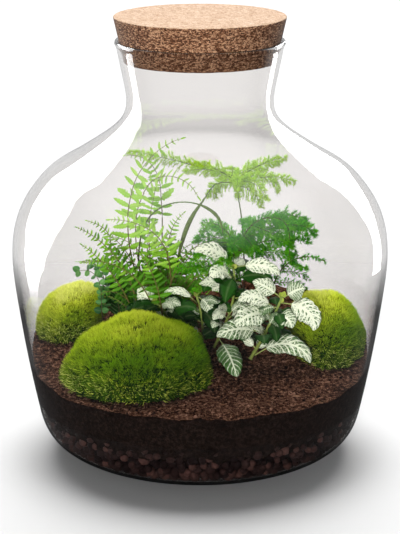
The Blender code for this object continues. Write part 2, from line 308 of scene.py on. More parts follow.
# %% Sockets that can be added and multiplied
class Sock:
    """A shader socket that takes part in sums, so that 1 - mask adds a Math node."""

    def __init__(self, finish, socket):
        self.finish = finish
        self.socket = socket

    def __add__(self, other):
        return self.finish.maths("ADD", self, other)

    def __sub__(self, other):
        return self.finish.maths("SUBTRACT", self, other)

    def __rsub__(self, other):
        return self.finish.maths("SUBTRACT", other, self)

    def __mul__(self, other):
        return self.finish.maths("MULTIPLY", self, other)

    def __truediv__(self, other):
        return self.finish.maths("DIVIDE", self, other)

    def clamp(self):
        """Held between 0 and 1."""
        return self.finish.maths("MAXIMUM", self.finish.maths("MINIMUM", self, 1.0), 0.0)

    __radd__ = __add__
    __rmul__ = __mul__


# %% Finishes
class Finish:
    """A material, or any other node tree, whose nodes are added one at a time."""

    def __init__(self, owner):
        self.owner = owner
        owner.use_nodes = True
        self.tree = owner.node_tree
        self.tree.nodes.clear()

    def node(self, kind, settings=None, sockets=None, output=0):
        """Adds a node: its settings first, then a value or a link for each socket named."""
        made = self.tree.nodes.new(kind)
        for key, value in (settings or {}).items():
            if key == "stops":
                # they take the place of the two stops that a new colour ramp has
                ramp = made.color_ramp.elements
                ramp.remove(ramp[-1])
                ramp[0].position = value[0][0]
                ramp[0].color = (*value[0][1], 1.0)
                for position, colour in value[1:]:
                    ramp.new(position).color = (*colour, 1.0)
            else:
                setattr(made, key, value)
        for key, value in (sockets or {}).items():
            if isinstance(value, Sock):
                self.tree.links.new(value.socket, made.inputs[key])
            elif isinstance(value, tuple) and made.inputs[key].type == "RGBA":
                made.inputs[key].default_value = (*value, 1.0)
            else:
                made.inputs[key].default_value = value
        return Sock(self, made.outputs[output])

    def maths(self, operation, *values):
        """A Math node on sockets and numbers."""
        return self.node("ShaderNodeMath", {"operation": operation}, dict(enumerate(values)))

    def blend(self, share, one, other):
        """A colour between one and other: other's share of it, and the rest from one."""
        return self.node("ShaderNodeMix", {"data_type": "RGBA"}, {0: share, 6: one, 7: other}, 2)

    def ramp(self, share, stops):
        """A colour ramp with the given stops."""
        return self.node("ShaderNodeValToRGB", {"stops": stops}, {"Fac": share})

    def mark(self, label):
        """One of the three marks that a Skin puts on its points."""
        return self.node("ShaderNodeAttribute", {"attribute_name": label}, output="Fac")

    def place(self):
        """The point's place in metres."""
        return self.node("ShaderNodeTexCoord", output="Object")

    def noise(self, size, detail=3.0):
        """Soft blotches about size metres across, from 0 to 1."""
        return self.node("ShaderNodeTexNoise", None,
                         {"Vector": self.place(), "Scale": 1 / size, "Detail": detail})

    def cells(self, size, output=0, **more):
        """Voronoi cells about size metres across."""
        return self.node("ShaderNodeTexVoronoi", None,
                         {"Vector": self.place(), "Scale": 1 / size, **more}, output)

    def bump(self, height, strength, deep, **settings):
        """A surface that looks dented by up to deep metres, following height from 0 to 1."""
        return self.node("ShaderNodeBump", settings,
                         {"Strength": strength, "Distance": deep, "Height": height})

    def coat(self, colour, roughness, shine, **more):
        """An opaque surface of this colour; shine is its Specular IOR Level."""
        return self.node("ShaderNodeBsdfPrincipled", None, {
            "Base Color": colour, "Roughness": roughness, "Specular IOR Level": shine, **more})

    def shows(self, shader):
        """Ends the tree in this shader."""
        end = self.tree.nodes.new("ShaderNodeOutputMaterial")
        self.tree.links.new(shader.socket, end.inputs["Surface"])
        print(f"{self.owner.name}: a finish of {len(self.tree.nodes)} nodes")
        return self.owner

    def shows_both(self, share, one, other):
        """Ends the tree in two shaders: other's share of them, and the rest from one."""
        return self.shows(self.node("ShaderNodeMixShader", None, {0: share, 1: one, 2: other}))

    def shows_lit_through(self, share, front, through):
        """Ends the tree in a leaf's front, with a share of light that comes through it."""
        return self.shows_both(share, front, self.node("ShaderNodeBsdfTranslucent", None,
                                                       {"Color": through}))


def new_finish(name):
    """An empty material to fill with nodes."""
    return Finish(bpy.data.materials.new(name))


# %% [markdown]
# ## The studio
#
# The jar stands on a white disc in an all-white room. The camera looks down on it a little
# from the front. Glass only shows by what it mirrors, so the room is grey where the glass
# mirrors it, and two tall bright panels behind its shoulders draw the long white highlights.

# %% Camera
CAMERA_AWAY = 1.285
CAMERA_HEIGHT = 0.5037
CAMERA_DOWN = 15.96       # degrees below level
LENS_MM = 124.49
SENSOR_MM = 36.0

camera = bpy.data.objects.new("studio_camera", bpy.data.cameras.new("studio_camera"))
camera.location = (0, -CAMERA_AWAY, CAMERA_HEIGHT)
camera.rotation_euler = (math.radians(90 - CAMERA_DOWN), 0, 0)
camera.data.lens = LENS_MM
camera.data.sensor_width = SENSOR_MM
camera.data.clip_start = 0.01
camera.data.clip_end = 50.0
bpy.context.collection.objects.link(camera)
bpy.context.scene.camera = camera
bpy.context.scene.view_settings.view_transform = "Standard"
print("the longer side of the frame takes in about", round(CAMERA_AWAY * SENSOR_MM / LENS_MM, 2), "m")

# %% Room light
ROOM_WHITE = 1.1          # the room as it is seen, directly or through glass
ROOM_LIT = 0.22           # its light on matt surfaces
MIRRORED_FRONT = 0.004    # what glass mirrors of the dark end of the room, before the jar
MIRRORED_BACK = 0.80      # and of its grey end, behind and beside the jar
MIRRORED_ABOVE = 1.0      # and of its ceiling

room = bpy.data.worlds.new("studio_room")
bpy.context.scene.world = room
tree = Finish(room)
mirrored = tree.maths("MINIMUM", tree.node("ShaderNodeLightPath", output="Glossy Depth"), 1.0)
matt = tree.node("ShaderNodeLightPath", output="Is Diffuse Ray")
direction = tree.node("ShaderNodeTexCoord", output="Generated")
backwards = tree.node("ShaderNodeSeparateXYZ", None, {0: direction}, "Y")
upwards = tree.node("ShaderNodeSeparateXYZ", None, {0: direction}, "Z")
ceiling = (upwards * 3.0 - 1.6).clamp() * MIRRORED_ABOVE
grey = (backwards * 2.0 - 0.4).clamp() * (MIRRORED_BACK - MIRRORED_FRONT) + MIRRORED_FRONT
grey = tree.maths("MAXIMUM", grey, ceiling)
strength = ROOM_WHITE - mirrored * (ROOM_WHITE - grey)
strength = matt * ROOM_LIT + (1 - matt) * strength
glow = tree.node("ShaderNodeBackground", None, {"Color": (1.0, 1.0, 1.0), "Strength": strength})
tree.tree.links.new(glow.socket, tree.tree.nodes.new("ShaderNodeOutputWorld").inputs["Surface"])
print("the room glows at", ROOM_WHITE, "where it is seen and at", ROOM_LIT, "on matt surfaces")

# %% [markdown]
# One wide soft lamp, high and a little behind, lights the tops and lets the jar's shadow fall
# forward. A second shines in level from the front: it lights what faces the viewer and, being
# so low, hardly lightens the shadow. Both are as far away as the sun in effect, so the white
# floor is lit evenly.

# %% Lamps
ABOVE_STRENGTH = 6.0
ABOVE_SPREAD = 42.0       # degrees across, which sets how soft its shadows are
ABOVE_LEAN = -22.0        # degrees off upright, towards the back
BEFORE_STRENGTH = 4.2
BEFORE_SPREAD = 24.0
BEFORE_HEIGHT = 6.0       # degrees above level
BEFORE_HEADING = -12.0    # degrees off the front, to the left


def lamp(name, strength, spread, lean, heading):
    """A sun that leans off upright and then turns to its heading, all in degrees."""
    made = bpy.data.objects.new(name, bpy.data.lights.new(name, "SUN"))
    made.data.energy = strength
    made.data.angle = math.radians(spread)
    made.rotation_euler = (math.radians(lean), 0, math.radians(heading))
    made.visible_glossy = False
    made.visible_transmission = False
    bpy.context.collection.objects.link(made)
    print(name, "shines at", strength, "and is", spread, "degrees across")


lamp("lamp_above", ABOVE_STRENGTH, ABOVE_SPREAD, ABOVE_LEAN, 0)
lamp("lamp_before", BEFORE_STRENGTH, BEFORE_SPREAD, 90 - BEFORE_HEIGHT, BEFORE_HEADING)

# %% [markdown]
# The two panels stand for tall windows. Each is drawn by the directions in which it is seen
# from the jar, because a curved glass mirrors directions: the panel's outline there is the
# highlight's outline on the jar.

# %% Mirrored panels
PANEL_AWAY = 1.5
PANEL_GLOW = 8.0
PANELS_ROUND_HEIGHT = 0.18    # the directions are seen from here, inside the jar


def panel(name, corners):
    """A flat bright sheet whose corners lie at the given (azimuth, elevation) degrees as seen
    from the jar. Azimuth 180 is straight behind it. Only what mirrors shows it."""
    azimuth, rise = np.radians(np.array(corners, float)).T
    points = np.stack([np.sin(azimuth) * np.cos(rise), -np.cos(azimuth) * np.cos(rise), np.sin(rise)], axis=1)
    points = PANEL_AWAY * points + (0, 0, PANELS_ROUND_HEIGHT)
    mesh = bpy.data.meshes.new(name)
    mesh.from_pydata(points.tolist(), [], [tuple(range(len(points)))])
    finish = new_finish(name)
    mesh.materials.append(finish.shows(
        finish.node("ShaderNodeEmission", None, {"Color": (1.0, 1.0, 1.0), "Strength": PANEL_GLOW})))
    made = bpy.data.objects.new(name, mesh)
    made.visible_camera = False
    made.visible_diffuse = False
    made.visible_transmission = False
    made.visible_shadow = False
    bpy.context.collection.objects.link(made)
    print(name, "has", len(corners), "corners")


panel("panel_left", [(-117, -24), (-102, -10), (-98, 6), (-99, 21), (-104, 30), (-113, 36),
                     (-126, 43), (-137, 46), (-148, 44), (-158, 36), (-155, 20), (-145, 13),
                     (-136, 5), (-127, -5), (-125, -24)])
panel("panel_right", [(124, -17), (124, 12), (128, 24), (134, 31), (143, 35), (152, 33),
                      (163, 31), (165, 6), (152, 9), (141, 4), (137, -3), (138, -17)])

# %% [markdown]
# The white board fades out towards its rim, so that no edge shows against the white room.

# %% Floor
FLOOR_RADIUS = 0.60
FLOOR_SIDES = 96
FLOOR_FADES_FROM = 0.36
FLOOR_BELOW = 0.0002      # the jar stands this far above it
FLOOR_WHITE = 0.50
FLOOR_MIRRORED = 0.03     # how white it is in the glass: painted shade, dark like the shadowed floor round the jar

board = new_finish("white_board")
# Painted shade: seen in the glass, the board is darkened to FLOOR_MIRRORED, which stands for the shadow round
# the jar.
bounced = board.maths("MINIMUM", board.node("ShaderNodeLightPath", output="Glossy Depth"), 1.0)
white = FLOOR_WHITE - bounced * (FLOOR_WHITE - FLOOR_MIRRORED)
matt_white = board.node("ShaderNodeBsdfDiffuse", None, {
    "Color": board.node("ShaderNodeCombineColor", None, {0: white, 1: white, 2: white})})
from_middle = board.node("ShaderNodeVectorMath", {"operation": "LENGTH"}, {0: board.place()}, "Value")
faded = ((from_middle - FLOOR_FADES_FROM) / (FLOOR_RADIUS - FLOOR_FADES_FROM)).clamp()
white_board = board.shows_both(faded, matt_white, board.node("ShaderNodeBsdfTransparent"))
[rim] = turned_rings([(FLOOR_RADIUS, 0)], FLOOR_SIDES)
floor_mesh = bpy.data.meshes.new("studio_floor")
floor_mesh.from_pydata(rim.tolist(), [], [tuple(range(FLOOR_SIDES))])
floor_mesh.materials.append(white_board)
floor = bpy.data.objects.new("studio_floor", floor_mesh)
floor.location.z = -FLOOR_BELOW
bpy.context.collection.objects.link(floor)
print("the floor is", 2 * FLOOR_RADIUS, "m across")

# %% [markdown]
# ## The glass
#
# The jar is blown glass, about 3 mm thick: a wall with an outside, a rounded lip and an
# inside. One closed outline, up the outside and down the inside, is turned round the axis, so
# light bends at both faces as it does in the real wall.

# %% The jar's outline
WALL_MM = 3.0
NECK_WALL_MM = 2.5
BASE_WALL_MM = 3.0
CORNER_WALL_MM = 1.9      # blown glass is thinnest where it was stretched most, round the foot
NECK_START_MM = 250.0
LIP_RISE_MM = 0.9
BEAD_MM = 0.8             # the mouth is rounded off with a small bead, which catches the light
BEAD_HALF_MM = 1.3
BEAD_DOWN_MM = 1.2
OUTLINE_ROUNDS = 3        # rounds of softening, which take the last kinks out of the outline
WALL_AT_MM = [(0, BASE_WALL_MM), (6, CORNER_WALL_MM), (16, CORNER_WALL_MM), (60, WALL_MM),
              (NECK_START_MM / 2, WALL_MM), (NECK_START_MM, NECK_WALL_MM)]
# radius and height, up the outside
JAR_OUTLINE_MM = [
    (62, 0), (81, 1.8), (96, 6), (107.5, 12.5), (114.5, 22), (119, 40), (125.2, 72),
    (130.8, 108), (134.6, 140), (135, 153), (132.5, 171), (127.5, 184.5), (118.5, 198),
    (108, 209.5), (91.3, 219.5), (74.8, 230), (59.8, 241), (52.8, 249.5), (51.6, 257),
    (52.6, 266), (54.9, 277), (59.5, 300.5),
]
print("the outline rises to", JAR_OUTLINE_MM[-1][1], "mm in", len(JAR_OUTLINE_MM), "points")


# %% A smooth line through the outline's points
def smooth_line(points, steps):
    """A cubic through the points, read at shares of its length. Its slope at each point is that
    of the line through the two beside it."""
    p = np.array(points, float)
    along = np.concatenate([[0], np.cumsum(np.linalg.norm(np.diff(p, axis=0), axis=1))])
    slope = np.gradient(p, along, axis=0)
    s = np.asarray(steps) * along[-1]
    k = np.clip(np.searchsorted(along, s, side="right") - 1, 0, len(along) - 2)
    span = (along[k + 1] - along[k])[:, None]
    u = (s - along[k])[:, None] / span
    return ((2 * u**3 - 3 * u**2 + 1) * p[k] + (u**3 - 2 * u**2 + u) * span * slope[k]
            + (3 * u**2 - 2 * u**3) * p[k + 1] + (u**3 - u**2) * span * slope[k + 1])


def softened(line, rounds):
    """Each inner point moved to the mean of itself and its neighbours' mean, several times."""
    for _ in range(rounds):
        line = np.concatenate([line[:1], 0.5 * line[1:-1] + 0.25 * (line[:-2] + line[2:]), line[-1:]])
    return line


# %% The outside and the inside
# The steps are closer near the mouth, where the bead is.
steps = np.concatenate([np.linspace(0, 0.975, 84), np.linspace(0.979, 1, 9)])
outer_line = softened(smooth_line(JAR_OUTLINE_MM, steps), OUTLINE_ROUNDS) * MM
outer_line[:, 0] = np.minimum(outer_line[:, 0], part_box("glass_jar")[1].x)
slope = unit(np.gradient(outer_line, axis=0))
into_jar = np.stack([-slope[:, 1], slope[:, 0]], axis=1)
thickness = np.interp(outer_line[:, 1] / MM, *zip(*WALL_AT_MM)) * MM
inner_line = outer_line + into_jar * thickness[:, None]
mouth = (outer_line[:, 1] - outer_line[-1, 1] + BEAD_DOWN_MM * MM) / (BEAD_HALF_MM * MM)
outer_line[:, 0] += BEAD_MM * MM * np.exp(-mouth**2)
print("the glass is", round(2 * outer_line[:, 0].max() / MM, 1), "mm across")


def inner_radius(height):
    """Radius of the jar's inside at a height."""
    return np.interp(height, inner_line[:, 1], inner_line[:, 0])


# %% [markdown]
# What is seen through the glass is bent, because that is how glass shows that it is thick. But
# light that only passes through it on its way to a matt surface goes straight on. Bending that
# too would light the contents hardly differently, and with far more noise.

# %% The glass's finish
GLASS_TINT = (0.93, 0.915, 0.905)
STRAIGHT_THROUGH = (0.95, 0.95, 0.95)

glass = new_finish("clear_blown_glass")
clear = glass.node("ShaderNodeBsdfPrincipled", None, {
    "Base Color": GLASS_TINT, "Roughness": 0.0, "IOR": 1.5, "Transmission Weight": 1.0})
straight = glass.node("ShaderNodeBsdfTransparent", None, {"Color": STRAIGHT_THROUGH})
shadow_ray = glass.node("ShaderNodeLightPath", output="Is Shadow Ray")
diffuse_ray = glass.node("ShaderNodeLightPath", output="Is Diffuse Ray")
clear_glass = glass.shows_both(glass.maths("MAXIMUM", shadow_ray, diffuse_ray), clear, straight)

# %% The jar
JAR_COLUMNS = 112

lip_angle = np.linspace(0, math.pi, 9)[1:-1]
lip_middle = (outer_line[-1] + inner_line[-1]) / 2
lip_half = np.linalg.norm(outer_line[-1] - inner_line[-1]) / 2
lip = lip_middle + np.stack([lip_half * np.cos(lip_angle), LIP_RISE_MM * MM * np.sin(lip_angle)], axis=1)
jar_line = np.concatenate([[(outer_line[0, 0] / 2, 0)], outer_line, lip, inner_line[::-1],
                           [(inner_line[0, 0] / 2, inner_line[0, 1])]])
jar = Skin()
wrap(jar, turned_rings(jar_line, JAR_COLUMNS), (0, 0, 0), (0, 0, inner_line[0, 1]))
jar.piece("jar_of_blown_glass", "glass_jar", [clear_glass])

# %% [markdown]
# ## The cork
#
# The stopper is pressed from ground cork: granules of several tans glued together, with dark
# bark flecks between them. The sanded top is pale and fine, the sides are darker and pitted
# where granules broke out. The pits are in the shape, the granules in the finish.

# %% Granules
GRANULE_MM = 1.5
FINE_GRANULE_MM = 0.7
FLECK_MM = 0.9
PRESSED_FLAT = 2.0        # the granules were pressed from above, so they lie flat

cork = new_finish("pressed_cork")
pressed = cork.node("ShaderNodeMapping", None, {"Vector": cork.place(), "Scale": (1, 1, PRESSED_FLAT)})


def granules(size, channel, **more):
    """One random number from 0 to 1 for each granule: a channel of its cell's colour."""
    return cork.node("ShaderNodeSeparateColor", None, {0: cork.cells(size * MM, "Color", **more)}, channel)


mixture = (granules(GRANULE_MM, 0, Vector=pressed) * 0.45
           + granules(FINE_GRANULE_MM, 1, Vector=pressed) * 0.35 + cork.noise(9 * MM, 2.0) * 0.2)
fleck_share = granules(FLECK_MM, 2)
print("cork granules are", GRANULE_MM, "mm wide and", GRANULE_MM / PRESSED_FLAT, "mm high")

# %% Cork finish
SANDED_DEEP_MM = 0.7      # the pale sanded top goes this far down, and ends in a soft edge
SOFT_EDGE_MM = 0.4

cork_low, cork_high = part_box("cork_stopper")
jar_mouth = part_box("glass_jar")[1].z
side_colour = cork.ramp(mixture, [(0.28, (0.022, 0.006, 0.002)), (0.43, (0.135, 0.053, 0.023)),
                                  (0.56, (0.25, 0.115, 0.058)), (0.72, (0.58, 0.35, 0.21))])
top_colour = cork.ramp(mixture, [(0.15, (0.24, 0.130, 0.070)), (0.42, (0.400, 0.270, 0.177)),
                                 (0.80, (0.53, 0.400, 0.300))])
height = cork.node("ShaderNodeSeparateXYZ", None, {0: cork.place()}, "Z")
is_top = ((height - (cork_high.z - SANDED_DEEP_MM * MM)) / (SOFT_EDGE_MM * MM)).clamp()
fleck = ((fleck_share - 0.86) * 20).clamp() * (1 - is_top * 0.65)
cork_colour = cork.blend(fleck * 0.8, cork.blend(is_top, side_colour, top_colour), (0.06, 0.022, 0.012))
# The sides are blended towards near-black, and more so below the jar's mouth, where the extra darkening is
# painted shade inside the neck.
shaded_in_neck = ((jar_mouth - 0.5 * MM - height) / MM).clamp()
cork_colour = cork.blend((1 - is_top) * (0.30 + shaded_in_neck * 0.20), cork_colour, (0.02, 0.008, 0.004))
crumb = cork.noise(0.5 * MM, 3.0) * 0.6 + cork.cells(FLECK_MM * MM) * 0.4
cork_bump = cork.bump(crumb * (1 - is_top * 0.6), 0.6, 0.35 * MM)
pressed_cork = cork.shows(cork.coat(cork_colour, 0.92, 0.25, Normal=cork_bump))

# %% The stopper's outline
CORK_EDGE_MM = 0.9        # how far its edges are rounded off
CORK_TAPER = 0.226        # how much its radius grows for each millimetre up
SIDE_ROWS = 34
DISC_ROWS = 14

top_radius = cork_high.x
bottom_radius = top_radius - CORK_TAPER * (cork_high.z - cork_low.z)
edge = CORK_EDGE_MM * MM
side_height = np.linspace(cork_low.z + edge, cork_high.z - edge, SIDE_ROWS)
side_radius = np.interp(side_height, [cork_low.z, cork_high.z], [bottom_radius, top_radius])
round_off = np.radians([22, 45, 68])
low_round = np.stack([side_radius[0] - edge + edge * np.sin(round_off),
                      side_height[0] - edge * np.cos(round_off)], axis=1)
high_round = np.stack([side_radius[-1] - edge + edge * np.cos(round_off),
                       side_height[-1] + edge * np.sin(round_off)], axis=1)
disc = np.linspace(0.04, 1, DISC_ROWS)
low_disc = np.stack([disc * (side_radius[0] - edge), 0 * disc + cork_low.z], axis=1)
high_disc = np.stack([disc * (side_radius[-1] - edge), 0 * disc + cork_high.z], axis=1)[::-1]
side_line = np.stack([side_radius, side_height], axis=1)
cork_line = np.concatenate([low_disc, low_round, side_line, high_round, high_disc])
print("the cork is", round(2 * top_radius / MM, 1), "mm across, in", len(cork_line), "rings")

# %% The stopper
# Pits go inwards, towards its middle. On the sanded discs they are shallow.
CORK_COLUMNS = 300
PIT_DEEP_MM = 0.75
CHIP_DEEP_MM = 1.4
PIT_MM = 1.7              # roughly how far apart the pits are
CHIP_MM = 3.4
ON_DISCS = 0.15           # how deep they still are on the discs

cork_rings = turned_rings(cork_line, CORK_COLUMNS)
inward = unit((0, 0, (cork_low.z + cork_high.z) / 2) - cork_rings)
pit = np.clip(rough(cork_rings, PIT_MM * MM, 2, seed=3) - 0.30, 0, 1)
chip = np.clip(rough(cork_rings, CHIP_MM * MM, 3, seed=9) - 0.75, 0, 1)
on_disc = cork_line[:, 0:1] < bottom_radius - 1.4 * edge
depth = (PIT_DEEP_MM * pit + CHIP_DEEP_MM * chip) * np.where(on_disc, ON_DISCS, 1.0) * MM
cork_rings = cork_rings + inward * depth[..., None]
stopper = Skin()
wrap(stopper, cork_rings, (0, 0, cork_low.z), (0, 0, cork_high.z))
stopper.piece("cork_bung", "cork_stopper", [pressed_cork])

# %% [markdown]
# ## Pebbles
#
# Fired clay pebbles lie under the soil so that water drains away from the roots. Only the ones
# against the glass can be seen, so they are laid out one by one there, in rings, over a dark
# body that stands for the rest. Each is a lumpy ball: a sphere whose radius varies with noise.

# %% Clay and soil finishes
GRIT_MM = 0.8

clay = new_finish("fired_clay")
clay_colour = clay.ramp(clay.mark("tint") * 0.7 + clay.noise(3 * MM) * 0.3,
                        [(0.2, (0.006, 0.003, 0.003)), (0.6, (0.018, 0.009, 0.008)),
                         (0.95, (0.060, 0.028, 0.023))])
clay_bump = clay.bump(clay.noise(GRIT_MM * MM, 4.0), 0.5, 0.4 * MM)
fired_clay = clay.shows(clay.coat(clay_colour, 0.8, 0.1, Normal=clay_bump))


def soil_finish(name, stops, strength):
    """Dark peaty soil: blotches of three sizes pick a brown, and grit roughens it."""
    made = new_finish(name)
    clods = made.noise(2.4 * MM, 4.0)
    grit = made.noise(GRIT_MM * MM, 3.0)
    share = made.noise(14 * MM, 2.0) * 0.10 + clods * 0.40 + grit * 0.30 + made.mark("tint") * 0.20
    bumped = made.bump(clods + grit * 0.5, strength, 2.2 * MM)
    return made.shows(made.coat(made.ramp(share, stops), 0.95, 0.0, Normal=bumped))


peat = soil_finish("damp_peat", [(0.41, (0.003, 0.0010, 0.0004)), (0.47, (0.019, 0.0072, 0.0036)),
                                 (0.53, (0.080, 0.035, 0.020)), (0.60, (0.26, 0.140, 0.093))], 1.0)
# The wall against the glass is a darker copy of the peat: partly damp packed soil, partly painted shade.
packed_shaded_peat = soil_finish("packed_shaded_peat", [(0.40, (0.0016, 0.0009, 0.0006)), (0.50, (0.005, 0.0030, 0.0023)),
                                          (0.60, (0.015, 0.0090, 0.0073))], 0.5)
fibre = soil_finish("coir_fibre", [(0.30, (0.06, 0.024, 0.013)), (0.50, (0.13, 0.060, 0.034)),
                                   (0.70, (0.26, 0.145, 0.090))], 0.3)


# %% Lumpy balls
def ball(rings_count, sides):
    """A unit sphere as rings with two end points: z = -cos(lift), radius = sin(lift)."""
    lift = np.arange(1, rings_count + 1) * math.pi / (rings_count + 1)
    rings = turned_rings(np.stack([np.sin(lift), -np.cos(lift)], axis=1), sides)
    return np.concatenate([rings.reshape(-1, 3), [(0, 0, -1), (0, 0, 1)]]), wrap_faces(rings_count, sides)


def spun(dice, count):
    """Random turns: the rows of each are three square directions, from two random vectors."""
    first = unit(dice.normal(size=(count, 3)))
    second = unit(np.cross(first, dice.normal(size=(count, 3))))
    return np.stack([first, second, np.cross(first, second)], axis=1)


def add_lumps(skin, places, sizes, dice, shape, uneven):
    """Adds a lumpy ball at each place: unit sphere x size x (1 + uneven noise), turned at random."""
    points, faces = shape
    count = len(places)
    own = points + dice.uniform(0, 50, (count, 1, 3))
    bulge = 1 + uneven * lumps(own, 0.9)[..., None]
    turned_points = (points * bulge * sizes[:, None, None]) @ spun(dice, count)
    skin.add(places[:, None] + turned_points, faces, tint=dice.random((count, 1)))


# %% The dark body behind the pebbles
PEBBLE_TOP_MM = 30.0
CORE_BEHIND_MM = 7.0      # how far it stays behind the glass
LAYER_GAP = 0.3 * MM

pebbles = Skin()
pebble_low, pebble_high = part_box("drainage_pebbles")
core_height = np.linspace(pebble_low.z + 1 * MM, pebble_high.z - 0.6 * MM, 9)
core_line = np.stack([inner_radius(core_height) - CORE_BEHIND_MM * MM, core_height], axis=1)
# It has tint 0, the darkest clay colour: painted shade in the gaps between the pebbles.
wrap(pebbles, turned_rings(core_line, 96), (0, 0, core_height[0]), (0, 0, core_height[-1]), tint=0.0)
print("the dark body is", round(2 * core_line[:, 0].max() / MM, 1), "mm across")

# %% The pebbles
PEBBLE_MM = (2.3, 4.4)    # radii from and to
PEBBLE_APART_MM = 7.2     # from one pebble to the next round a ring
PEBBLE_STEP_MM = 5.6      # from one ring of pebbles to the next, up the inside of the glass
STRAY_MM = 9.0            # a loose ring of half as many lies this far above the layer
LOWEST_RING_MM = 16.0     # measured along the glass, so that none lies under the layer

dice = np.random.default_rng(7)
inside = inner_line[inner_line[:, 1] < (PEBBLE_TOP_MM + STRAY_MM) * MM]
climb = np.concatenate([[0], np.cumsum(np.linalg.norm(np.diff(inside, axis=0), axis=1))])
radius_at, height_at = inside.T
out_by, up_by = into_jar[:len(inside)].T


def near(level, column, count):
    """Values of a column at a way up the glass, each a millimetre or less off it."""
    return np.interp(level + dice.uniform(-1.0, 1.0, count) * MM, climb, column)


levels = np.arange(climb[-1] - 1 * MM, LOWEST_RING_MM * MM, -PEBBLE_STEP_MM * MM)
for level in levels:
    around = int(2 * math.pi * np.interp(level, climb, radius_at) / (PEBBLE_APART_MM * MM))
    if level == levels[0]:
        around = around // 2
    turn_by = (np.arange(around) + dice.uniform(-0.35, 0.35, around)) * 2 * math.pi / around
    size = dice.uniform(*PEBBLE_MM, around) * MM
    deep = size + LAYER_GAP + dice.uniform(0, 0.8, around) * MM
    out = near(level, radius_at, around) + near(level, out_by, around) * deep
    high = near(level, height_at, around) + near(level, up_by, around) * deep
    high = np.maximum(high, height_at[0] + size)
    spot = np.stack([out * np.cos(turn_by), out * np.sin(turn_by), high], axis=1)
    add_lumps(pebbles, spot, size, dice, ball(4, 7), 0.12)
pebbles.piece("bed_of_clay_pebbles", "drainage_pebbles", [fired_clay])

# %% [markdown]
# ## Soil
#
# Coir and peat, low at the front and higher at the back. The bed is one closed skin: a bumpy
# top that follows the slope, a wall against the glass and a flat underside. Crumbs, fibres and
# a few bark chips lie on top, because it is they that make soil look like soil close up.

# %% How high the soil lies
SOIL_FRONT_MM = 65.0
SOIL_RISE_MM = 25.0
SLOPE_FROM_MM = -90.0
SLOPE_LONG_MM = 150.0
ON_SOIL = 0.45 * MM       # what stands on the soil starts this far above it


def soil_height(x, y):
    """Low at the front, with an S-shaped rise to the back: front + rise t*t*(3 - 2t)."""
    t = np.clip((y - SLOPE_FROM_MM * MM) / (SLOPE_LONG_MM * MM), 0, 1)
    return (SOIL_FRONT_MM + SOIL_RISE_MM * t * t * (3 - 2 * t)) * MM + 0 * x


def soil_crust(x, y):
    """The slope with lumps on it, sunk a little so that plants still stand clear."""
    flat = np.stack([x, y, 0 * x], axis=-1)
    return soil_height(x, y) + (rough(flat, 11 * MM, 4, seed=20) * 1.3 - 0.6) * MM


print("the soil rises from", SOIL_FRONT_MM, "mm at the front to", SOIL_FRONT_MM + SOIL_RISE_MM, "mm")

# %% [markdown]
# The soil's wall ends where its top meets the glass. That line is found in a few rounds: out
# to the glass at one height, up or down to the soil's top there, and out to the glass again.
# Lowest down the wall is hollowed, as where grains have sifted away between the pebbles, and
# the pebbles show there.

# %% The soil against the glass
SOIL_COLUMNS = 220
WALL_ROWS = 22
DAMP_CONTACT = 0.15 * MM  # damp soil clings to the glass, so that no air shows between them
SIFTED_MM = 9.0           # how far up the hollows go
HOLLOW = 0.026            # how far in they go, as a share of the radius

turn_by = np.arange(SOIL_COLUMNS) * 2 * math.pi / SOIL_COLUMNS
rim_radius = inner_radius(SOIL_FRONT_MM * MM)
for _ in range(3):
    rim_level = soil_crust(rim_radius * np.cos(turn_by), rim_radius * np.sin(turn_by))
    rim_radius = inner_radius(rim_level) + DAMP_CONTACT
underside = PEBBLE_TOP_MM * MM + LAYER_GAP
share = np.linspace(0, 1, WALL_ROWS)[:, None]
wall_height = underside + (rim_level - underside) * share
wall_radius = inner_radius(wall_height) + DAMP_CONTACT
wall = np.stack([wall_radius * np.cos(turn_by), wall_radius * np.sin(turn_by), wall_height], axis=-1)
sifted = np.clip(1.2 - (wall_height - underside) / (SIFTED_MM * MM), 0, 1) ** 0.5
hollow = np.clip(rough(wall, 5 * MM, 3, seed=31) + 0.9, 0, 1.5) * sifted
wall = wall * (1 - hollow[..., None] * (HOLLOW, HOLLOW, 0))
print("the soil meets the glass between", *np.round([rim_level.min() / MM, rim_level.max() / MM], 1), "mm")

# %% The soil bed
TOP_RINGS = 84

reach = np.linspace(1, 0.02, TOP_RINGS)[1:, None] ** 0.9
top_x = reach * rim_radius * np.cos(turn_by)
top_y = reach * rim_radius * np.sin(turn_by)
top = np.stack([top_x, top_y, soil_crust(top_x, top_y)], axis=-1)
soil = Skin()
centre_top = (0, 0, float(soil_crust(np.array(0.0), np.array(0.0))))
wrap(soil, np.concatenate([wall, top]), (0, 0, underside), centre_top)
# the wall is the second finish: packed soil, darker than the top, partly for its own damp colour and partly
# as painted shade
quads, _, smooth = soil.faces[0]
is_wall = quads.max(axis=1) < WALL_ROWS * SOIL_COLUMNS
soil.faces[0:1] = [(quads[is_wall], 1, smooth), (quads[~is_wall], 0, smooth)]

# %% Crumbs
CRUMBS = 1900


def on_soil(count, dice, spare):
    """Random places on the soil, evenly over its area: radius = reach sqrt(random)."""
    around = dice.uniform(0, 2 * math.pi, count)
    out = (rim_radius.min() - spare) * np.sqrt(dice.random(count))
    x, y = out * np.cos(around), out * np.sin(around)
    return np.stack([x, y, soil_crust(x, y)], axis=1)


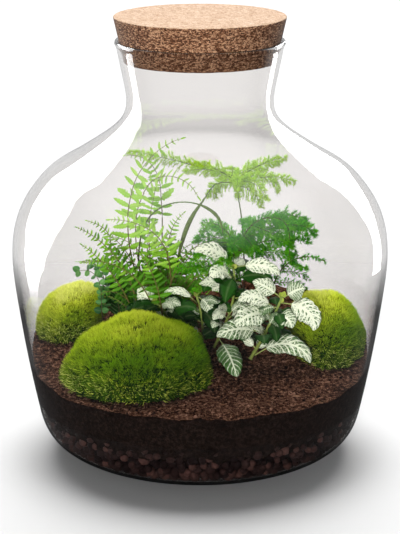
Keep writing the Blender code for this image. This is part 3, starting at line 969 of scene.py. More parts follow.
dice = np.random.default_rng(11)
crumb_size = (0.35 + 1.1 * dice.random(CRUMBS) ** 3) * MM
crumb_at = on_soil(CRUMBS, dice, 3 * MM)
crumb_at[:, 2] += crumb_size * 0.4
add_lumps(soil, crumb_at, crumb_size, dice, ball(2, 5), 0.35)
print(CRUMBS, "crumbs up to", round(2 * crumb_size.max() / MM, 1), "mm across")

# %% Chips of bark
CHIPS = 46
CHIP_FROM_MM = (1.5, 0.8, 0.3)    # half length, half width and half thickness, from
CHIP_TO_MM = (4.0, 1.6, 0.6)      # and to

chip_size = dice.uniform(CHIP_FROM_MM, CHIP_TO_MM, (CHIPS, 3)) * MM
flat_turn = dice.uniform(0, 2 * math.pi, CHIPS)
chip_at = on_soil(CHIPS, dice, 6 * MM) + (0, 0, 0.5 * MM)
chip_points, chip_faces = ball(3, 6)
long_way = np.stack([np.cos(flat_turn), np.sin(flat_turn), 0 * flat_turn], axis=1)[:, None]
wide_way = np.stack([-np.sin(flat_turn), np.cos(flat_turn), 0 * flat_turn], axis=1)[:, None]
sized = chip_points * chip_size[:, None]
lain = sized[..., :1] * long_way + sized[..., 1:2] * wide_way + sized[..., 2:] * (0, 0, 1)
soil.add(chip_at[:, None] + lain, chip_faces, finish=2, tint=dice.random((CHIPS, 1)))
print(CHIPS, "chips up to", round(2 * chip_size.max() / MM, 1), "mm long")

# %% Fibres
# Each is a short curl that lifts a little off the soil, most at its ends.
FIBRES = 760
FIBRE_STEPS = 5
FIBRE_CURL = 2.4          # the most that one turns along its length, in radians

way = dice.uniform(0, 2 * math.pi, (FIBRES, 1))
curl = dice.uniform(-FIBRE_CURL, FIBRE_CURL, (FIBRES, 1))
long = (2.0 + 7.0 * dice.random((FIBRES, 1)) ** 2) * MM
step = np.linspace(-0.5, 0.5, FIBRE_STEPS)[None, :]
heading = way + curl * step
fibre_from = on_soil(FIBRES, dice, 8 * MM)
fibre_x = fibre_from[:, :1] + np.cumsum(np.cos(heading), axis=1) * long / FIBRE_STEPS
fibre_y = fibre_from[:, 1:2] + np.cumsum(np.sin(heading), axis=1) * long / FIBRE_STEPS
lift = (0.15 + dice.random((FIBRES, 1)) * 1.2 * (0.3 + np.abs(step) * 1.4)) * MM
spine = np.stack([fibre_x, fibre_y, soil_crust(fibre_x, fibre_y) + lift], axis=-1)
twigs(soil, spine, dice.uniform(0.08, 0.24, FIBRES) * MM, dice, finish=2, tint=dice.random((FIBRES, 1)))
soil.piece("bed_of_peat_and_coir", "potting_soil", [peat, packed_shaded_peat, fibre])

# %% [markdown]
# ## Green finishes
#
# A leaf is brighter from behind than from the front when light shines through it, so each
# green is an opaque front mixed with a share of Translucent. The Translucent colour is one
# constant, and what varies from leaf to leaf is the colour of the front.

# %% A finish for leaves, and one for stalks
def leaf_finish(name, stops, through, share, vein=0.25):
    """Greens picked by the leaf's tint and soft blotches, with a paler midrib."""
    made = new_finish(name)
    pick = made.mark("tint") * 0.7 + made.noise(9 * MM, 2.0) * 0.3
    off_middle = made.maths("ABSOLUTE", made.mark("across"))
    midrib = (1 - off_middle * 5).clamp() * vein
    colour = made.blend(midrib, made.ramp(pick, stops), (0.62, 0.74, 0.36))
    return made.shows_lit_through(share, made.coat(colour, 0.5, 0.12), through)


def stalk_finish(name, low, high):
    """A stalk that changes from one colour at its foot to another at its tip."""
    made = new_finish(name)
    share = (made.mark("along") * 0.8 + made.noise(5 * MM, 2.0) * 0.4 - 0.1).clamp()
    return made.shows(made.coat(made.blend(share, low, high), 0.5, 0.15))


# %% [markdown]
# ## Moss
#
# A cushion of moss is thousands of short upright shoots, each a tuft of pointed leaves. Under
# them is a plain dome that closes the gaps. Shoots stand out from the dome and lean upwards,
# and their leaves are painted darker at the foot, as shade deep in the cushion, which is what
# makes the cushion look deep.

# %% Moss finish
moss_green = new_finish("moss_shoots")
pick = moss_green.mark("across") * 0.85 + moss_green.mark("tint") * 0.15
moss_colour = moss_green.ramp(pick, [(0.05, (0.05, 0.16, 0.002)), (0.30, (0.16, 0.40, 0.004)),
                                     (0.55, (0.42, 0.60, 0.015)), (0.80, (0.80, 0.88, 0.060)),
                                     (0.97, (0.95, 0.94, 0.24))])
# Painted shade: each leaf is darkened towards its foot, and by its tint mark, which is dark low down on the
# cushion.
foot_shade = (1 - moss_green.mark("along") * 1.25).clamp() * (1.15 - pick).clamp()
shade_share = foot_shade * 0.95 + (1 - moss_green.mark("tint")) * 0.75
moss_colour = moss_green.blend(shade_share.clamp(), moss_colour, (0.008, 0.022, 0.001))
moss_shoots = moss_green.shows_lit_through(moss_green.mark("tint").clamp() * 0.42,
                                           moss_green.coat(moss_colour, 0.8, 0.0), (0.66, 0.84, 0.06))
moss_earth = soil_finish("moss_underside", [(0.42, (0.003, 0.010, 0.001)), (0.60, (0.02, 0.05, 0.002))], 0.6)

# %% The dome of a cushion
DOME_RINGS = 22
DOME_COLUMNS = 72
DOME_FROM_GLASS_MM = 1.5


def moss_dome(cx, cy, wide, deep, tall, leans, heading):
    """Rings over an oval, all sizes in mm: radius = cos(lift)^0.7 and height = tall sin(lift)
    above the soil. The top leans to +X, and what would touch the glass is held in."""
    lift = np.radians(np.linspace(0, 88, DOME_RINGS))[:, None]
    turn_by = np.arange(DOME_COLUMNS) * 2 * math.pi / DOME_COLUMNS
    ring, rise = np.cos(lift) ** 0.7, np.sin(lift)
    along = wide * MM * ring * np.cos(turn_by)
    across = deep * MM * ring * np.sin(turn_by)
    swing = math.radians(heading)
    x = cx * MM + along * math.cos(swing) - across * math.sin(swing) + leans * MM * rise
    y = cy * MM + along * math.sin(swing) + across * math.cos(swing)
    z = soil_height(x, y) + ON_SOIL + rise * tall * MM
    held_in = np.minimum(1, (inner_radius(z) - DOME_FROM_GLASS_MM * MM) / np.hypot(x, y))
    return np.stack([x * held_in, y * held_in, z], axis=-1)


# %% Shoots of moss
TUFT_LEAVES = 6
SHOOT_MM = 4.4
TUFT_MM = 0.9             # how loosely the leaves of a shoot stand


def moss_leaves(place, outward, dice):
    """The foot of every leaf and the way from it to its tip, for a shoot at each place. A shoot
    points along 0.9 outward + 0.25 up + noise, and its leaves' feet lie loosely round it."""
    count = (len(place), TUFT_LEAVES, 3)
    shoot = unit(outward * 0.9 + (0, 0, 0.25) + dice.normal(size=place.shape) * 0.22)
    ahead = unit(shoot[:, None] + dice.normal(size=count) * 0.16)
    long = SHOOT_MM * MM * dice.uniform(0.55, 1.25, (*count[:2], 1))
    loose = dice.normal(size=count) * TUFT_MM * MM
    loose = loose - (loose * outward[:, None]).sum(axis=2, keepdims=True) * outward[:, None]
    foot = place[:, None] + loose - outward[:, None] * 0.5 * MM
    return foot.reshape(-1, 3), (ahead * long).reshape(-1, 3)


def moss_marks(place, height, to_left, yellow, dice):
    """How yellow and how light each leaf is. Shoots are yellower in blotches, and yellower and
    lighter near the top and to the left, which is painted light. Leaves low down are painted
    dark as shade, but for one in six that has dried out pale."""
    blotch = lumps(place, 13 * MM, 8) * 0.5 + lumps(place, 5 * MM, 9) * 0.3
    # Painted light: yellower, and so lighter, towards the top and the left side.
    own = np.clip(yellow + 0.75 * height**3.5 + 0.20 * np.clip(to_left, -0.3, 1) + blotch * 0.25, 0, 1)
    low = np.clip(1 - height / 0.5, 0, 1)[:, None]
    pick = dice.random((len(place), TUFT_LEAVES))
    pale = (pick > 0.84) * np.minimum(1, 2 * low)
    # Painted shade low down, and painted light towards the top.
    shade = (0.3 + 0.6 * pick) * (1 - low) + (0.5 * pick**2 + pale) * low + 0.4 * height[:, None] ** 3
    own = np.clip(own[:, None] + 0.6 * pale, 0, 1)
    return own.reshape(-1, 1), np.clip(shade, 0, 1).reshape(-1, 1)


# %% Cushions
MOSS_CORE_IN = 0.92       # the dome under the shoots, as a share of the cushion
# middle x, y, half width, half depth, height, how far its top leans (mm), heading (degrees);
# shoots, yellowness
CUSHIONS = {
    "front": ((-43, -49, 54, 43, 38, 0, 10), 5700, 0.22),
    "left": ((-99, 25, 25, 32, 25, 9, -10), 2700, 0.52),
    "right": ((93, -4, 29, 37, 34, -3, 0), 3300, 0.36),
}
for which, (sizes, shoots, yellow) in CUSHIONS.items():
    dice = np.random.default_rng(shoots)
    cx, cy, wide = sizes[:3]
    dome = moss_dome(*sizes)
    lowest, highest = dome[..., 2].min(), dome[..., 2].max()
    middle = np.array([cx * MM, cy * MM, lowest])
    uneven = 0.045 * lumps(dome, 26 * MM, 5) + 0.045 * lumps(dome, 11 * MM, 6)
    dome = middle + (dome - middle) * (MOSS_CORE_IN + uneven)[..., None]
    cushion = Skin()
    top = dome[-1].mean(axis=0) + (0, 0, 0.1 * MM)
    wrap(cushion, dome, (middle[0], middle[1], dome[0, :, 2].min()), top, finish=1)
    quads = grid_faces(DOME_RINGS, DOME_COLUMNS)
    place, outward = scatter_on(dome.reshape(-1, 3), quads, shoots, dice)
    foot, ahead = moss_leaves(place, outward, dice)
    height = (place[:, 2] - lowest) / (highest - lowest)
    to_left = (cx * MM - place[:, 0]) / (wide * MM)
    yellowness, lightness = moss_marks(place, height, to_left, yellow, dice)
    spikes(cushion, foot, ahead, 0.35 * MM, dice, across=yellowness, tint=lightness)
    cushion.piece(f"moss_{which}", f"moss_cushion_{which}", [moss_shoots, moss_earth])

# %% [markdown]
# ## Ferns
#
# A fern frond is a brown stalk that arches over under the weight of its blade. The blade is
# a double row of toothed leaflets, longest near its foot and shrinking to the tip. It could be
# one flat sheet with a leafy pattern, but real leaflets catch the light each in its own way,
# and what lies behind shows between them.

# %% Paths and placing
def bow(start, heading, rise, fall, turn, length, count):
    """Points along an arch: the direction bends down by fall and round by turn, both growing
    with the square of the way along."""
    middle = (np.arange(count - 1) + 0.5) / (count - 1)
    lift = np.radians(rise - fall * middle**2)
    way = np.radians(heading + turn * middle**2)
    step = np.stack([np.cos(lift) * np.cos(way), np.cos(lift) * np.sin(way), np.sin(lift)], axis=1)
    return start + np.concatenate([[[0, 0, 0]], np.cumsum(step, axis=0) * length / (count - 1)])


def rooted(x, y, radius, rise):
    """A start point on the soil for a stalk of this radius (metres) and angle."""
    up = ON_SOIL + radius * abs(math.cos(math.radians(rise)))
    return np.array([x * MM, y * MM, float(soil_height(x * MM, y * MM)) + up])


def grown(row, radius, count):
    """An arch that stands on the soil. Its row holds the root's x and y (mm), then heading,
    rise, fall and turn (degrees), then the length (mm)."""
    x, y, heading, rise, fall, turn, length = row
    return bow(rooted(x, y, radius, rise), heading, rise, fall, turn, length * MM, count)


def at_shares(share, *rows):
    """Rows along a path, such as its points, read off at shares of its length by blending."""
    even = np.linspace(0, 1, len(rows[0]))
    return [np.stack([np.interp(share, even, row[:, axis]) for axis in range(3)], axis=1) for row in rows]


# %% Toothed leaflets
def toothed(slim, teeth, depth):
    """Half widths of a leaflet with teeth: slim sin(pi t^0.7)^0.6, cut in between the teeth."""
    t = np.linspace(0, 1, 2 * teeth + 3)[1:-1]
    return slim * np.sin(math.pi * t**0.7) ** 0.6 * np.where(np.arange(2 * teeth + 1) % 2, 1.0, 1 - depth)


# %% A frond
FERN_ROOT_MM = 0.6        # radius of the stalk where it leaves the soil
FROND_STALK_MM = (0.62, 0.22)     # and from its foot to its tip
SHADED_UNDER_MM = 150     # leaflets lower than this stand in the shade of the others and are darker
SHADE_DEPTH_MM = 55
SHADE = 0.60              # how much of the tint the deepest shade takes


def frond(skin, path, facing, stalk, reach, pairs, slim, lean, dice, tint, teeth=5, sag=0.15):
    """A stalk with pairs of leaflets from share stalk of its length to its tip. Pair k sits at
    1 - (1 - k/pairs)^1.25 of the blade and is reach (1 - share^1.6)^0.75 long. A leaflet leans
    off the stalk by lean degrees, and its half width is slim of its length."""
    tube(skin, path, np.linspace(*FROND_STALK_MM, len(path)) * MM, 6, finish=1, tint=tint)
    share = 1 - (1 - (np.arange(pairs) + 0.3) / pairs) ** 1.25
    place, along, across, up = at_shares(stalk + (1 - stalk) * share, path, *frames(path, facing))
    size = reach * MM * np.minimum(1, 0.6 + 3 * share) * (1 - share**1.6) ** 0.75
    for side in (1, -1):
        angle = np.radians(lean - 12 * share + dice.normal(0, 8, pairs))[:, None]
        tilt = dice.normal(0.12, 0.28, (pairs, 1))
        ahead = side * across * np.sin(angle) + along * np.cos(angle) + up * tilt
        shaded = np.clip((SHADED_UNDER_MM * MM - place[:, 2:]) / (SHADE_DEPTH_MM * MM), 0, 1)
        own = np.clip(tint + dice.normal(0, 0.17, (pairs, 1)) - SHADE * shaded, 0, 1)
        leaflets(skin, place, ahead, up + side * across * dice.normal(0, 0.4, (pairs, 1)),
                 size * dice.uniform(0.78, 1.12, pairs) + 0.8 * MM, toothed(slim, teeth, 0.32),
                 sag=dice.uniform(0.3, 1.7, pairs) * sag, cup=0.25, tint=own)
    leaflets(skin, path[-1:], along[-1:], up[-1:], reach * MM * 0.35, toothed(slim, teeth, 0.3), tint=tint)


# %% Greens of the light fern
fern_leaf = leaf_finish("fern_leaf", [(0.1, (0.025, 0.11, 0.005)), (0.40, (0.11, 0.32, 0.018)),
                                      (0.70, (0.34, 0.60, 0.05)), (1.0, (0.58, 0.82, 0.17))],
                        (0.42, 0.78, 0.05), 0.36)
fern_stalk = stalk_finish("fern_stalk", (0.11, 0.035, 0.018), (0.20, 0.24, 0.055))

# %% [markdown]
# The eleven big fronds are given one by one. Round the foot of each stand a few young ones at
# random, the first of them dark with shade, which make the clump dense low down.

# %% The light green ferns
FROND_POINTS = 40
YOUNG_POINTS = 20
YOUNG_FRONDS = 4
SIDE_FRONDS = {"right": 3, "high": 2}    # more of them, reaching to +X over the open soil
# root x, y, heading, rise, fall, turn, length; stalk share, reach, pairs, slim, tint
FERNS = {
    "tall": ((-37, 25, 329, 112, 95, 27, 156), .35, 13, 15, .19, .80),
    "arching": ((-33, 17, 304, 122, 169, 22, 166), .40, 12, 17, .19, .90),
    "spreading": ((-21, 10, 269, 93, 103, -118, 119), .40, 13, 17, .17, .95),
    "high": ((-28, 37, 274, 117, 113, -61, 149), .50, 10, 14, .20, .80),
    "left_high": ((-40, 14, 193, 75, 51, -2, 97), .45, 7, 16, .21, .45),
    "left_back": ((-38, 32, 359, 140, 134, -206, 95), .40, 7, 16, .21, .80),
    "left_low": ((-29, 4, 212, 76, 97, -54, 93), .40, 8, 16, .20, .60),
    "short": ((-26, 0, 214, 85, 31, -19, 68), .40, 9, 12, .20, .55),
    "upright": ((-30, 29, 348, 101, 33, 0, 107), .45, 9, 13, .21, .80),
    "right": ((-22, 23, 283, 106, 62, 61, 89), .40, 8, 14, .20, .70),
    "left_mid": ((-42, 7, 184, 68, 31, 9, 82), .40, 8, 15, .21, .60),
}
for which, (row, stalk, reach, pairs, slim, tint) in FERNS.items():
    dice = np.random.default_rng(row[-1])
    path = grown(row, FERN_ROOT_MM * MM, FROND_POINTS)
    fern = Skin()
    frond(fern, path, 60, stalk, reach, pairs, slim, lean=76, dice=dice, tint=tint)
    for young in range(YOUNG_FRONDS):
        low = bow(path[1], heading=dice.uniform(-20, 200), rise=dice.uniform(55, 95),
                  fall=dice.uniform(30, 100), turn=dice.uniform(-50, 50),
                  length=dice.uniform(34, 80) * MM, count=YOUNG_POINTS)
        frond(fern, low, facing=dice.uniform(20, 85), stalk=0.2, reach=dice.uniform(5, 9), pairs=11,
              slim=dice.uniform(0.18, 0.26), lean=66, dice=dice, tint=tint * (0.25 + 0.22 * young), teeth=2)
    for _ in range(SIDE_FRONDS.get(which, 0)):
        low = bow(path[1], heading=dice.uniform(-30, 25), rise=dice.uniform(60, 80),
                  fall=dice.uniform(50, 110), turn=dice.uniform(-30, 30),
                  length=dice.uniform(48, 72) * MM, count=YOUNG_POINTS)
        frond(fern, low, facing=dice.uniform(20, 85), stalk=0.25, reach=dice.uniform(7, 9), pairs=11,
              slim=0.24, lean=66, dice=dice, tint=dice.uniform(0.4, 0.8), teeth=2)
    fern.piece(f"fern_{which}", f"fern_frond_{which}", [fern_leaf, fern_stalk])

# %% [markdown]
# The fronds of the low dark fern are made by the same function. Their leaflets are slimmer and
# point further forward.

# %% The low dark ferns
DARK_POINTS = 24
# root x, y, heading, rise, fall, turn, length
DARK_FERNS = {
    "middle": (-59, 18, 289, 109, 28, 1, 40),
    "left": (-61, 26, 156, 78, 30, 2, 35),
    "right": (-51, 9, 202, 107, 33, 0, 38),
}
dark_leaf = leaf_finish("dark_fern_leaf", [(0.1, (0.008, 0.045, 0.006)), (0.5, (0.022, 0.095, 0.012)),
                                           (1.0, (0.10, 0.22, 0.035))], (0.08, 0.28, 0.02), 0.18, 0.35)
dark_stalk = stalk_finish("dark_fern_stalk", (0.05, 0.03, 0.012), (0.06, 0.12, 0.03))
for which, row in DARK_FERNS.items():
    dice = np.random.default_rng(row[-1])
    path = grown(row, FERN_ROOT_MM * MM, DARK_POINTS)
    fern = Skin()
    frond(fern, path, facing=80, stalk=0.12, reach=13, pairs=13, slim=0.13, lean=48, dice=dice,
          tint=0.5, teeth=4, sag=0.2)
    fern.piece(f"dark_fern_{which}", f"dark_fern_frond_{which}", [dark_leaf, dark_stalk])

# %% [markdown]
# ## Asparagus fern
#
# It has no true leaves: the green is thousands of fine short twigs. A shoot carries branches,
# these carry twigs, and the twigs carry whorls of needles. A needle is a closed sliver of only
# four triangles, so that tens of thousands of them stay light.

# %% Twigs on a limb
TWIG_STEPS = 5
TWIG_LEAN = 52            # degrees off the limb


def between(paths, share):
    """The points and directions at the given shares (n, k) of the (n, steps, 3) paths."""
    spot = share * (paths.shape[1] - 1.001)
    low = spot.astype(int)
    rows = np.arange(len(paths))[:, None]
    part = (spot - low)[..., None]
    step = paths[rows, low + 1] - paths[rows, low]
    return paths[rows, low] + step * part, unit(step)


def limb_twigs(limb, each, first, length, droop, dice):
    """Paths that leave a limb to either side in turn, from share first of it to its tip. Each
    is length min(1, 0.35 + 2.5 (share - first)) (1.12 - share^2) long and hangs by droop t*t."""
    share = first + (1 - first) * (np.arange(each) + dice.uniform(0.1, 0.9, each)) / each
    [start], [along] = between(limb[None], share[None])
    across = unit(np.cross(along, (0, -0.8, 0.6)) + 1e-6)
    side = np.where(np.arange(each) % 2, 1.0, -1.0)[:, None]
    off = unit(across * side + dice.normal(0, 0.35, along.shape))
    angle = np.radians(TWIG_LEAN + dice.normal(0, 9, (each, 1)))
    ahead = off * np.sin(angle) + along * np.cos(angle)
    t = np.linspace(0, 1, TWIG_STEPS)[:, None]
    swell = np.minimum(1, 0.35 + 2.5 * (share - first)) * (1.12 - share**2)
    long = (length * swell * dice.uniform(0.7, 1.2, each))[:, None, None]
    return start[:, None] + long * (t * ahead[:, None] - droop * t * t * np.array((0, 0, 1.0)))


# %% A feathery limb
NEEDLES = 4               # in a whorl
NEEDLE_HALF_MM = 0.22
TWIG_HALF_MM = 0.10


def feather(skin, limb, first, reach, gap, knots, needle, dice, droop, tint):
    """Fine twigs leave a limb every gap millimetres. At each knot of a twig stands a whorl of
    needles, which point along 0.8 of the twig's direction + noise."""
    long = np.linalg.norm(np.diff(limb, axis=0), axis=1).sum() * (1 - first)
    each = max(4, int(long / (gap * MM)))
    fine = limb_twigs(limb, each, first, reach * MM, droop, dice)
    own = np.clip(tint + dice.normal(0, 0.20, (each, 1)), 0, 1)
    twigs(skin, fine, TWIG_HALF_MM * MM, dice, tint=own, along=0.6)
    share = (np.arange(knots) + dice.uniform(0.1, 0.9, (each, knots))) / knots
    knot, way = between(fine, share)
    shape = (each, knots, NEEDLES, 3)
    ahead = unit(way[:, :, None] * 0.8 + dice.normal(0, 0.55, shape))
    size = needle * MM * dice.uniform(0.5, 1.2, (*shape[:3], 1)) * (1.1 - 0.5 * share[..., None, None])
    foot = np.broadcast_to(knot[:, :, None], shape)
    spikes(skin, foot.reshape(-1, 3), (ahead * size).reshape(-1, 3), NEEDLE_HALF_MM * MM, dice,
           tint=np.clip(own[:, None, None] + dice.normal(0, 0.25, (*shape[:3], 1)), 0, 1).reshape(-1, 1))


# %% Greens of the asparagus fern
light_feather = leaf_finish("asparagus_light", [(0.1, (0.24, 0.46, 0.015)), (0.5, (0.46, 0.74, 0.03)),
                                                (1.0, (0.68, 0.90, 0.10))], (0.55, 0.88, 0.04), 0.4, 0.0)
dark_feather = leaf_finish("asparagus_dark", [(0.1, (0.010, 0.13, 0.004)), (0.5, (0.060, 0.40, 0.010)),
                                              (1.0, (0.32, 0.74, 0.03))], (0.12, 0.70, 0.015), 0.35, 0.0)
feather_stalk = stalk_finish("asparagus_stalk", (0.045, 0.022, 0.012), (0.10, 0.18, 0.03))

# %% The shoots and their side branches, as rows of numbers
# root x, y, heading, rise, fall, turn, length; its green; stalk share, reach, gap, knots,
# needle length, droop, tint
SHOOTS = {
    "tall": ((33, 42, 100, 93, 112, 0, 128), light_feather, .70, 9, 1.1, 8, 3.8, .2, .75),
    "dark": ((35, 35, 77, 125, 304, -263, 156), dark_feather, .36, 9, 0.9, 9, 3.8, .1, .55),
    "left": ((28, 30, 79, 132, 209, 90, 116), dark_feather, .34, 8, 1.1, 7, 3.6, .1, .9),
    "bowed": ((-37, 17, 309, 111, 200, 75, 160), dark_feather, .55, 1.2, 1.0, 1, 1.4, .1, .9),
    "young": ((-19, 15, 3, 90, 48, -16, 117), dark_feather, .45, 1.2, 1.2, 1, 1.4, .1, .6),
    "grey": ((51, 28, 322, 85, 118, 29, 81), dark_feather, .35, 5, 1.3, 6, 3.0, .1, .35),
}
# side branches: share of the shoot at which they start, heading, rise, fall, length, reach
BRANCHES = {
    "tall": [(.92, 178, 15, 9, 84, 8), (.90, 200, 22, 40, 40, 8), (.84, 8, 32, 30, 46, 9),
             (.80, 352, 18, 42, 46, 9), (.86, 210, 0, 90, 22, 6), (.78, 330, 0, 80, 28, 6),
             (.80, 0, 30, 110, 38, 6), (.95, 15, 20, 50, 30, 8), (.90, 90, 20, 30, 18, 8),
             (.85, 280, 20, 60, 30, 8), (.88, 25, 24, 30, 40, 9), (.84, 165, 30, 30, 34, 9),
             (.82, 320, 10, 60, 34, 8), (.80, 190, 10, 80, 24, 7)],
    "dark": [(.42, 165, 40, 40, 24, 9), (.42, 185, 20, 50, 36, 9), (.38, 200, 15, 30, 30, 8),
             (.52, 330, -10, 30, 36, 9), (.60, 340, -10, 50, 38, 9), (.60, 10, 10, 80, 36, 9),
             (.38, 345, 30, 50, 40, 9), (.72, 0, 0, 60, 24, 8), (.46, 300, -20, 50, 28, 9),
             (.36, 220, 20, 60, 24, 8), (.40, 60, 30, 40, 36, 9), (.50, 90, 10, 40, 28, 9),
             (.44, 10, 20, 30, 48, 10), (.40, 20, 10, 20, 46, 10), (.38, 0, 0, 10, 40, 9),
             (.45, 250, 10, 50, 28, 9), (.40, 175, 0, 30, 34, 9), (.55, 15, 0, 20, 40, 10)],
    "left": [(.50, 190, 30, 90, 34, 8), (.62, 185, 0, 60, 26, 8), (.52, 20, 50, 60, 20, 7),
             (.40, 195, 30, 60, 34, 8), (.70, 150, 30, 60, 22, 7), (.45, 250, 40, 60, 30, 8),
             (.35, 340, 50, 70, 24, 7), (.36, 170, 20, 40, 40, 8), (.44, 180, 10, 30, 44, 8),
             (.30, 200, 20, 50, 34, 8)],
    "grey": [(.35, 345, 15, 60, 26, 5), (.50, 0, 0, 60, 24, 5), (.30, 160, 50, 60, 20, 5),
             (.50, 30, 60, 50, 20, 5)],
}
# closed buds, in which the twigs still lie along the shoot: extra radius, from share, to share
BUDS = {"young": (1.3, .42, .93), "bowed": (1.0, .78, 1.0)}
print(len(SHOOTS), "shoots with", sum(len(rows) for rows in BRANCHES.values()), "side branches")

# %% Growing the shoots
SHOOT_POINTS = 40
SHOOT_STALK_MM = (0.8, 0.3)       # radius at its foot and at its tip
BRANCH_POINTS = 16
BRANCH_STALK_MM = (0.32, 0.14)
BRANCH_BARE = 0.06                # share of a branch before its first twig

for which, (row, green, stalk, reach, *spacing, droop, tint) in SHOOTS.items():
    dice = np.random.default_rng(row[-1])
    path = grown(row, SHOOT_STALK_MM[0] * MM, SHOOT_POINTS)
    shoot = Skin()
    bud, bud_from, bud_to = BUDS.get(which, (0, 0, 1))
    share = np.linspace(0, 1, SHOOT_POINTS)
    bulge = np.sin(math.pi * np.clip((share - bud_from) / (bud_to - bud_from), 0, 1))
    thick = np.linspace(*SHOOT_STALK_MM, SHOOT_POINTS) + bud * bulge**1.3
    tube(shoot, path, thick * MM, 8, finish=1)
    feather(shoot, path, stalk, reach, *spacing, dice, droop, tint)
    for start, heading, rise, fall, length, branch_reach in BRANCHES.get(which, []):
        [[foot]] = at_shares([start], path)
        limb = bow(foot, heading, rise, fall, turn=dice.uniform(-25, 25), length=length * MM,
                   count=BRANCH_POINTS)
        tube(shoot, limb, np.linspace(*BRANCH_STALK_MM, BRANCH_POINTS) * MM, 5, finish=1, along=0.5)
        feather(shoot, limb, BRANCH_BARE, branch_reach, *spacing, dice, droop, tint)
    shoot.piece(f"asparagus_{which}", f"asparagus_shoot_{which}", [green, feather_stalk])

# %% [markdown]
# ## Creeper
#
# Two wiry sprigs with small round leaves, darker on one than on the other. The leaves sit in
# pairs at even shares of a sprig's length. They are made as the fern's leaflets are, but plain,
# because real ones have no teeth.

# %% Sprigs
creeper_leaf = leaf_finish("creeper_leaf", [(0.1, (0.02, 0.085, 0.03)), (0.6, (0.09, 0.25, 0.07)),
                                            (1.0, (0.25, 0.45, 0.15))], (0.25, 0.5, 0.10), 0.25, 0.2)
creeper_stalk = stalk_finish("creeper_stalk", (0.06, 0.03, 0.02), (0.10, 0.14, 0.05))
SPRIG_POINTS = 30
SPRIG_ROOT_MM = 0.5
SPRIG_STALK_MM = (0.45, 0.2)
LEAF_PAIRS = 7
ROUND_LEAF_MM = (4.0, 6.5)        # lengths from and to
# root x, y, heading, rise, fall, turn, length; tint
SPRIGS = {
    "long": ((-70, 12, 72, 120, 141, 125, 61), .5),
    "short": ((-66, 20, 56, 120, 121, 103, 56), .35),
}
round_leaf = 0.42 * np.sin(math.pi * np.linspace(0, 1, 9)[1:-1] ** 0.8) ** 0.55
for which, (row, tint) in SPRIGS.items():
    dice = np.random.default_rng(row[-1])
    path = grown(row, SPRIG_ROOT_MM * MM, SPRIG_POINTS)
    sprig = Skin()
    tube(sprig, path, np.linspace(*SPRIG_STALK_MM, SPRIG_POINTS) * MM, 6, finish=1)
    share = np.linspace(0.3, 0.98, LEAF_PAIRS)
    place, along, across, up = at_shares(share, path, *frames(path, 60))
    column = (LEAF_PAIRS, 1)
    for side in (1, -1):
        ahead = side * across + along * dice.uniform(0, 0.9, column) + up * dice.normal(0, 0.3, column)
        leaflets(sprig, place, ahead, up + dice.normal(0, 0.3, up.shape),
                 dice.uniform(*ROUND_LEAF_MM, LEAF_PAIRS) * MM, round_leaf, sag=0.15, cup=0.15,
                 tint=np.clip(tint + dice.normal(0, 0.2, column), 0, 1))
    sprig.piece(f"creeper_{which}", f"creeper_sprig_{which}", [creeper_leaf, creeper_stalk])

# %% [markdown]
# ## The nerve plant
#
# Its leaves are green with a net of white veins so dense that many look white. The pattern is
# worked out from two marks, along the midrib and across from it: a midrib line, side veins
# that sweep forward, and a net of cell edges between them. How wide the white runs is the
# leaf's tint, from thin veins on old leaves to nearly all white on young ones.

# %% The veins of a nerve leaf
# A vein's mask is (its half width - the distance to its middle) x a steepness + 0.5, held
# between 0 and 1.
SIDE_VEINS = 8.0
SWEEP = 0.20              # how far forward a side vein runs, as a share of the leaf

nerve = new_finish("nerve_leaf_white_veined")
along_leaf = nerve.mark("along")
across_leaf = nerve.mark("across")
off = nerve.maths("ABSOLUTE", across_leaf)
whiteness = nerve.mark("tint")
to_side = nerve.maths("GREATER_THAN", across_leaf, 0.0)
phase = (along_leaf - off * SWEEP) * SIDE_VEINS + to_side * 0.5
from_vein = nerve.maths("ABSOLUTE", nerve.maths("FRACT", phase) - 0.5)
leaf_place = nerve.node("ShaderNodeCombineXYZ", None, {
    0: phase * 1.9, 1: off * 3.4 + to_side * 17, 2: whiteness * 37})
net_edge = nerve.node("ShaderNodeTexVoronoi", {"feature": "DISTANCE_TO_EDGE"},
                      {"Vector": leaf_place, "Scale": 1.0, "Randomness": 0.9})
wobble = nerve.node("ShaderNodeTexNoise", None, {"Vector": leaf_place, "Scale": 0.9, "Detail": 2.0})
vein_width = 0.07 + whiteness * 0.20 + (wobble - 0.5) * 0.25 - off * 0.06
side_vein = ((vein_width - from_vein) * 9 + 0.5).clamp()
midrib = ((0.05 + whiteness * 0.12 - off) * 14 + 0.5).clamp()
net_line = ((whiteness * 0.22 - 0.02 - off * 0.05 - net_edge) * 12 + 0.5).clamp()
white = nerve.maths("MAXIMUM", nerve.maths("MAXIMUM", side_vein, midrib), net_line)
on_blade = (along_leaf * 40).clamp()
white = white * on_blade

# %% Nerve plant finishes
green = nerve.blend(wobble, (0.004, 0.045, 0.003), (0.055, 0.20, 0.015))
pale = nerve.blend(wobble, (0.88, 0.95, 0.66), (0.96, 0.98, 0.88))
leaf_colour = nerve.blend(white, nerve.blend(on_blade, (0.30, 0.36, 0.10), green), pale)
sunk_veins = nerve.bump(white, 0.5, 0.25 * MM, invert=True)
nerve_leaf = nerve.shows_lit_through(0.16, nerve.coat(leaf_colour, 0.5, 0.12, Normal=sunk_veins),
                                     (0.86, 0.94, 0.62))
nerve_stem = stalk_finish("nerve_stem", (0.12, 0.14, 0.03), (0.26, 0.35, 0.08))
young_leaf = leaf_finish("nerve_young_leaf", [(0.1, (0.30, 0.42, 0.04)), (1.0, (0.60, 0.66, 0.16))],
                         (0.6, 0.7, 0.1), 0.3)
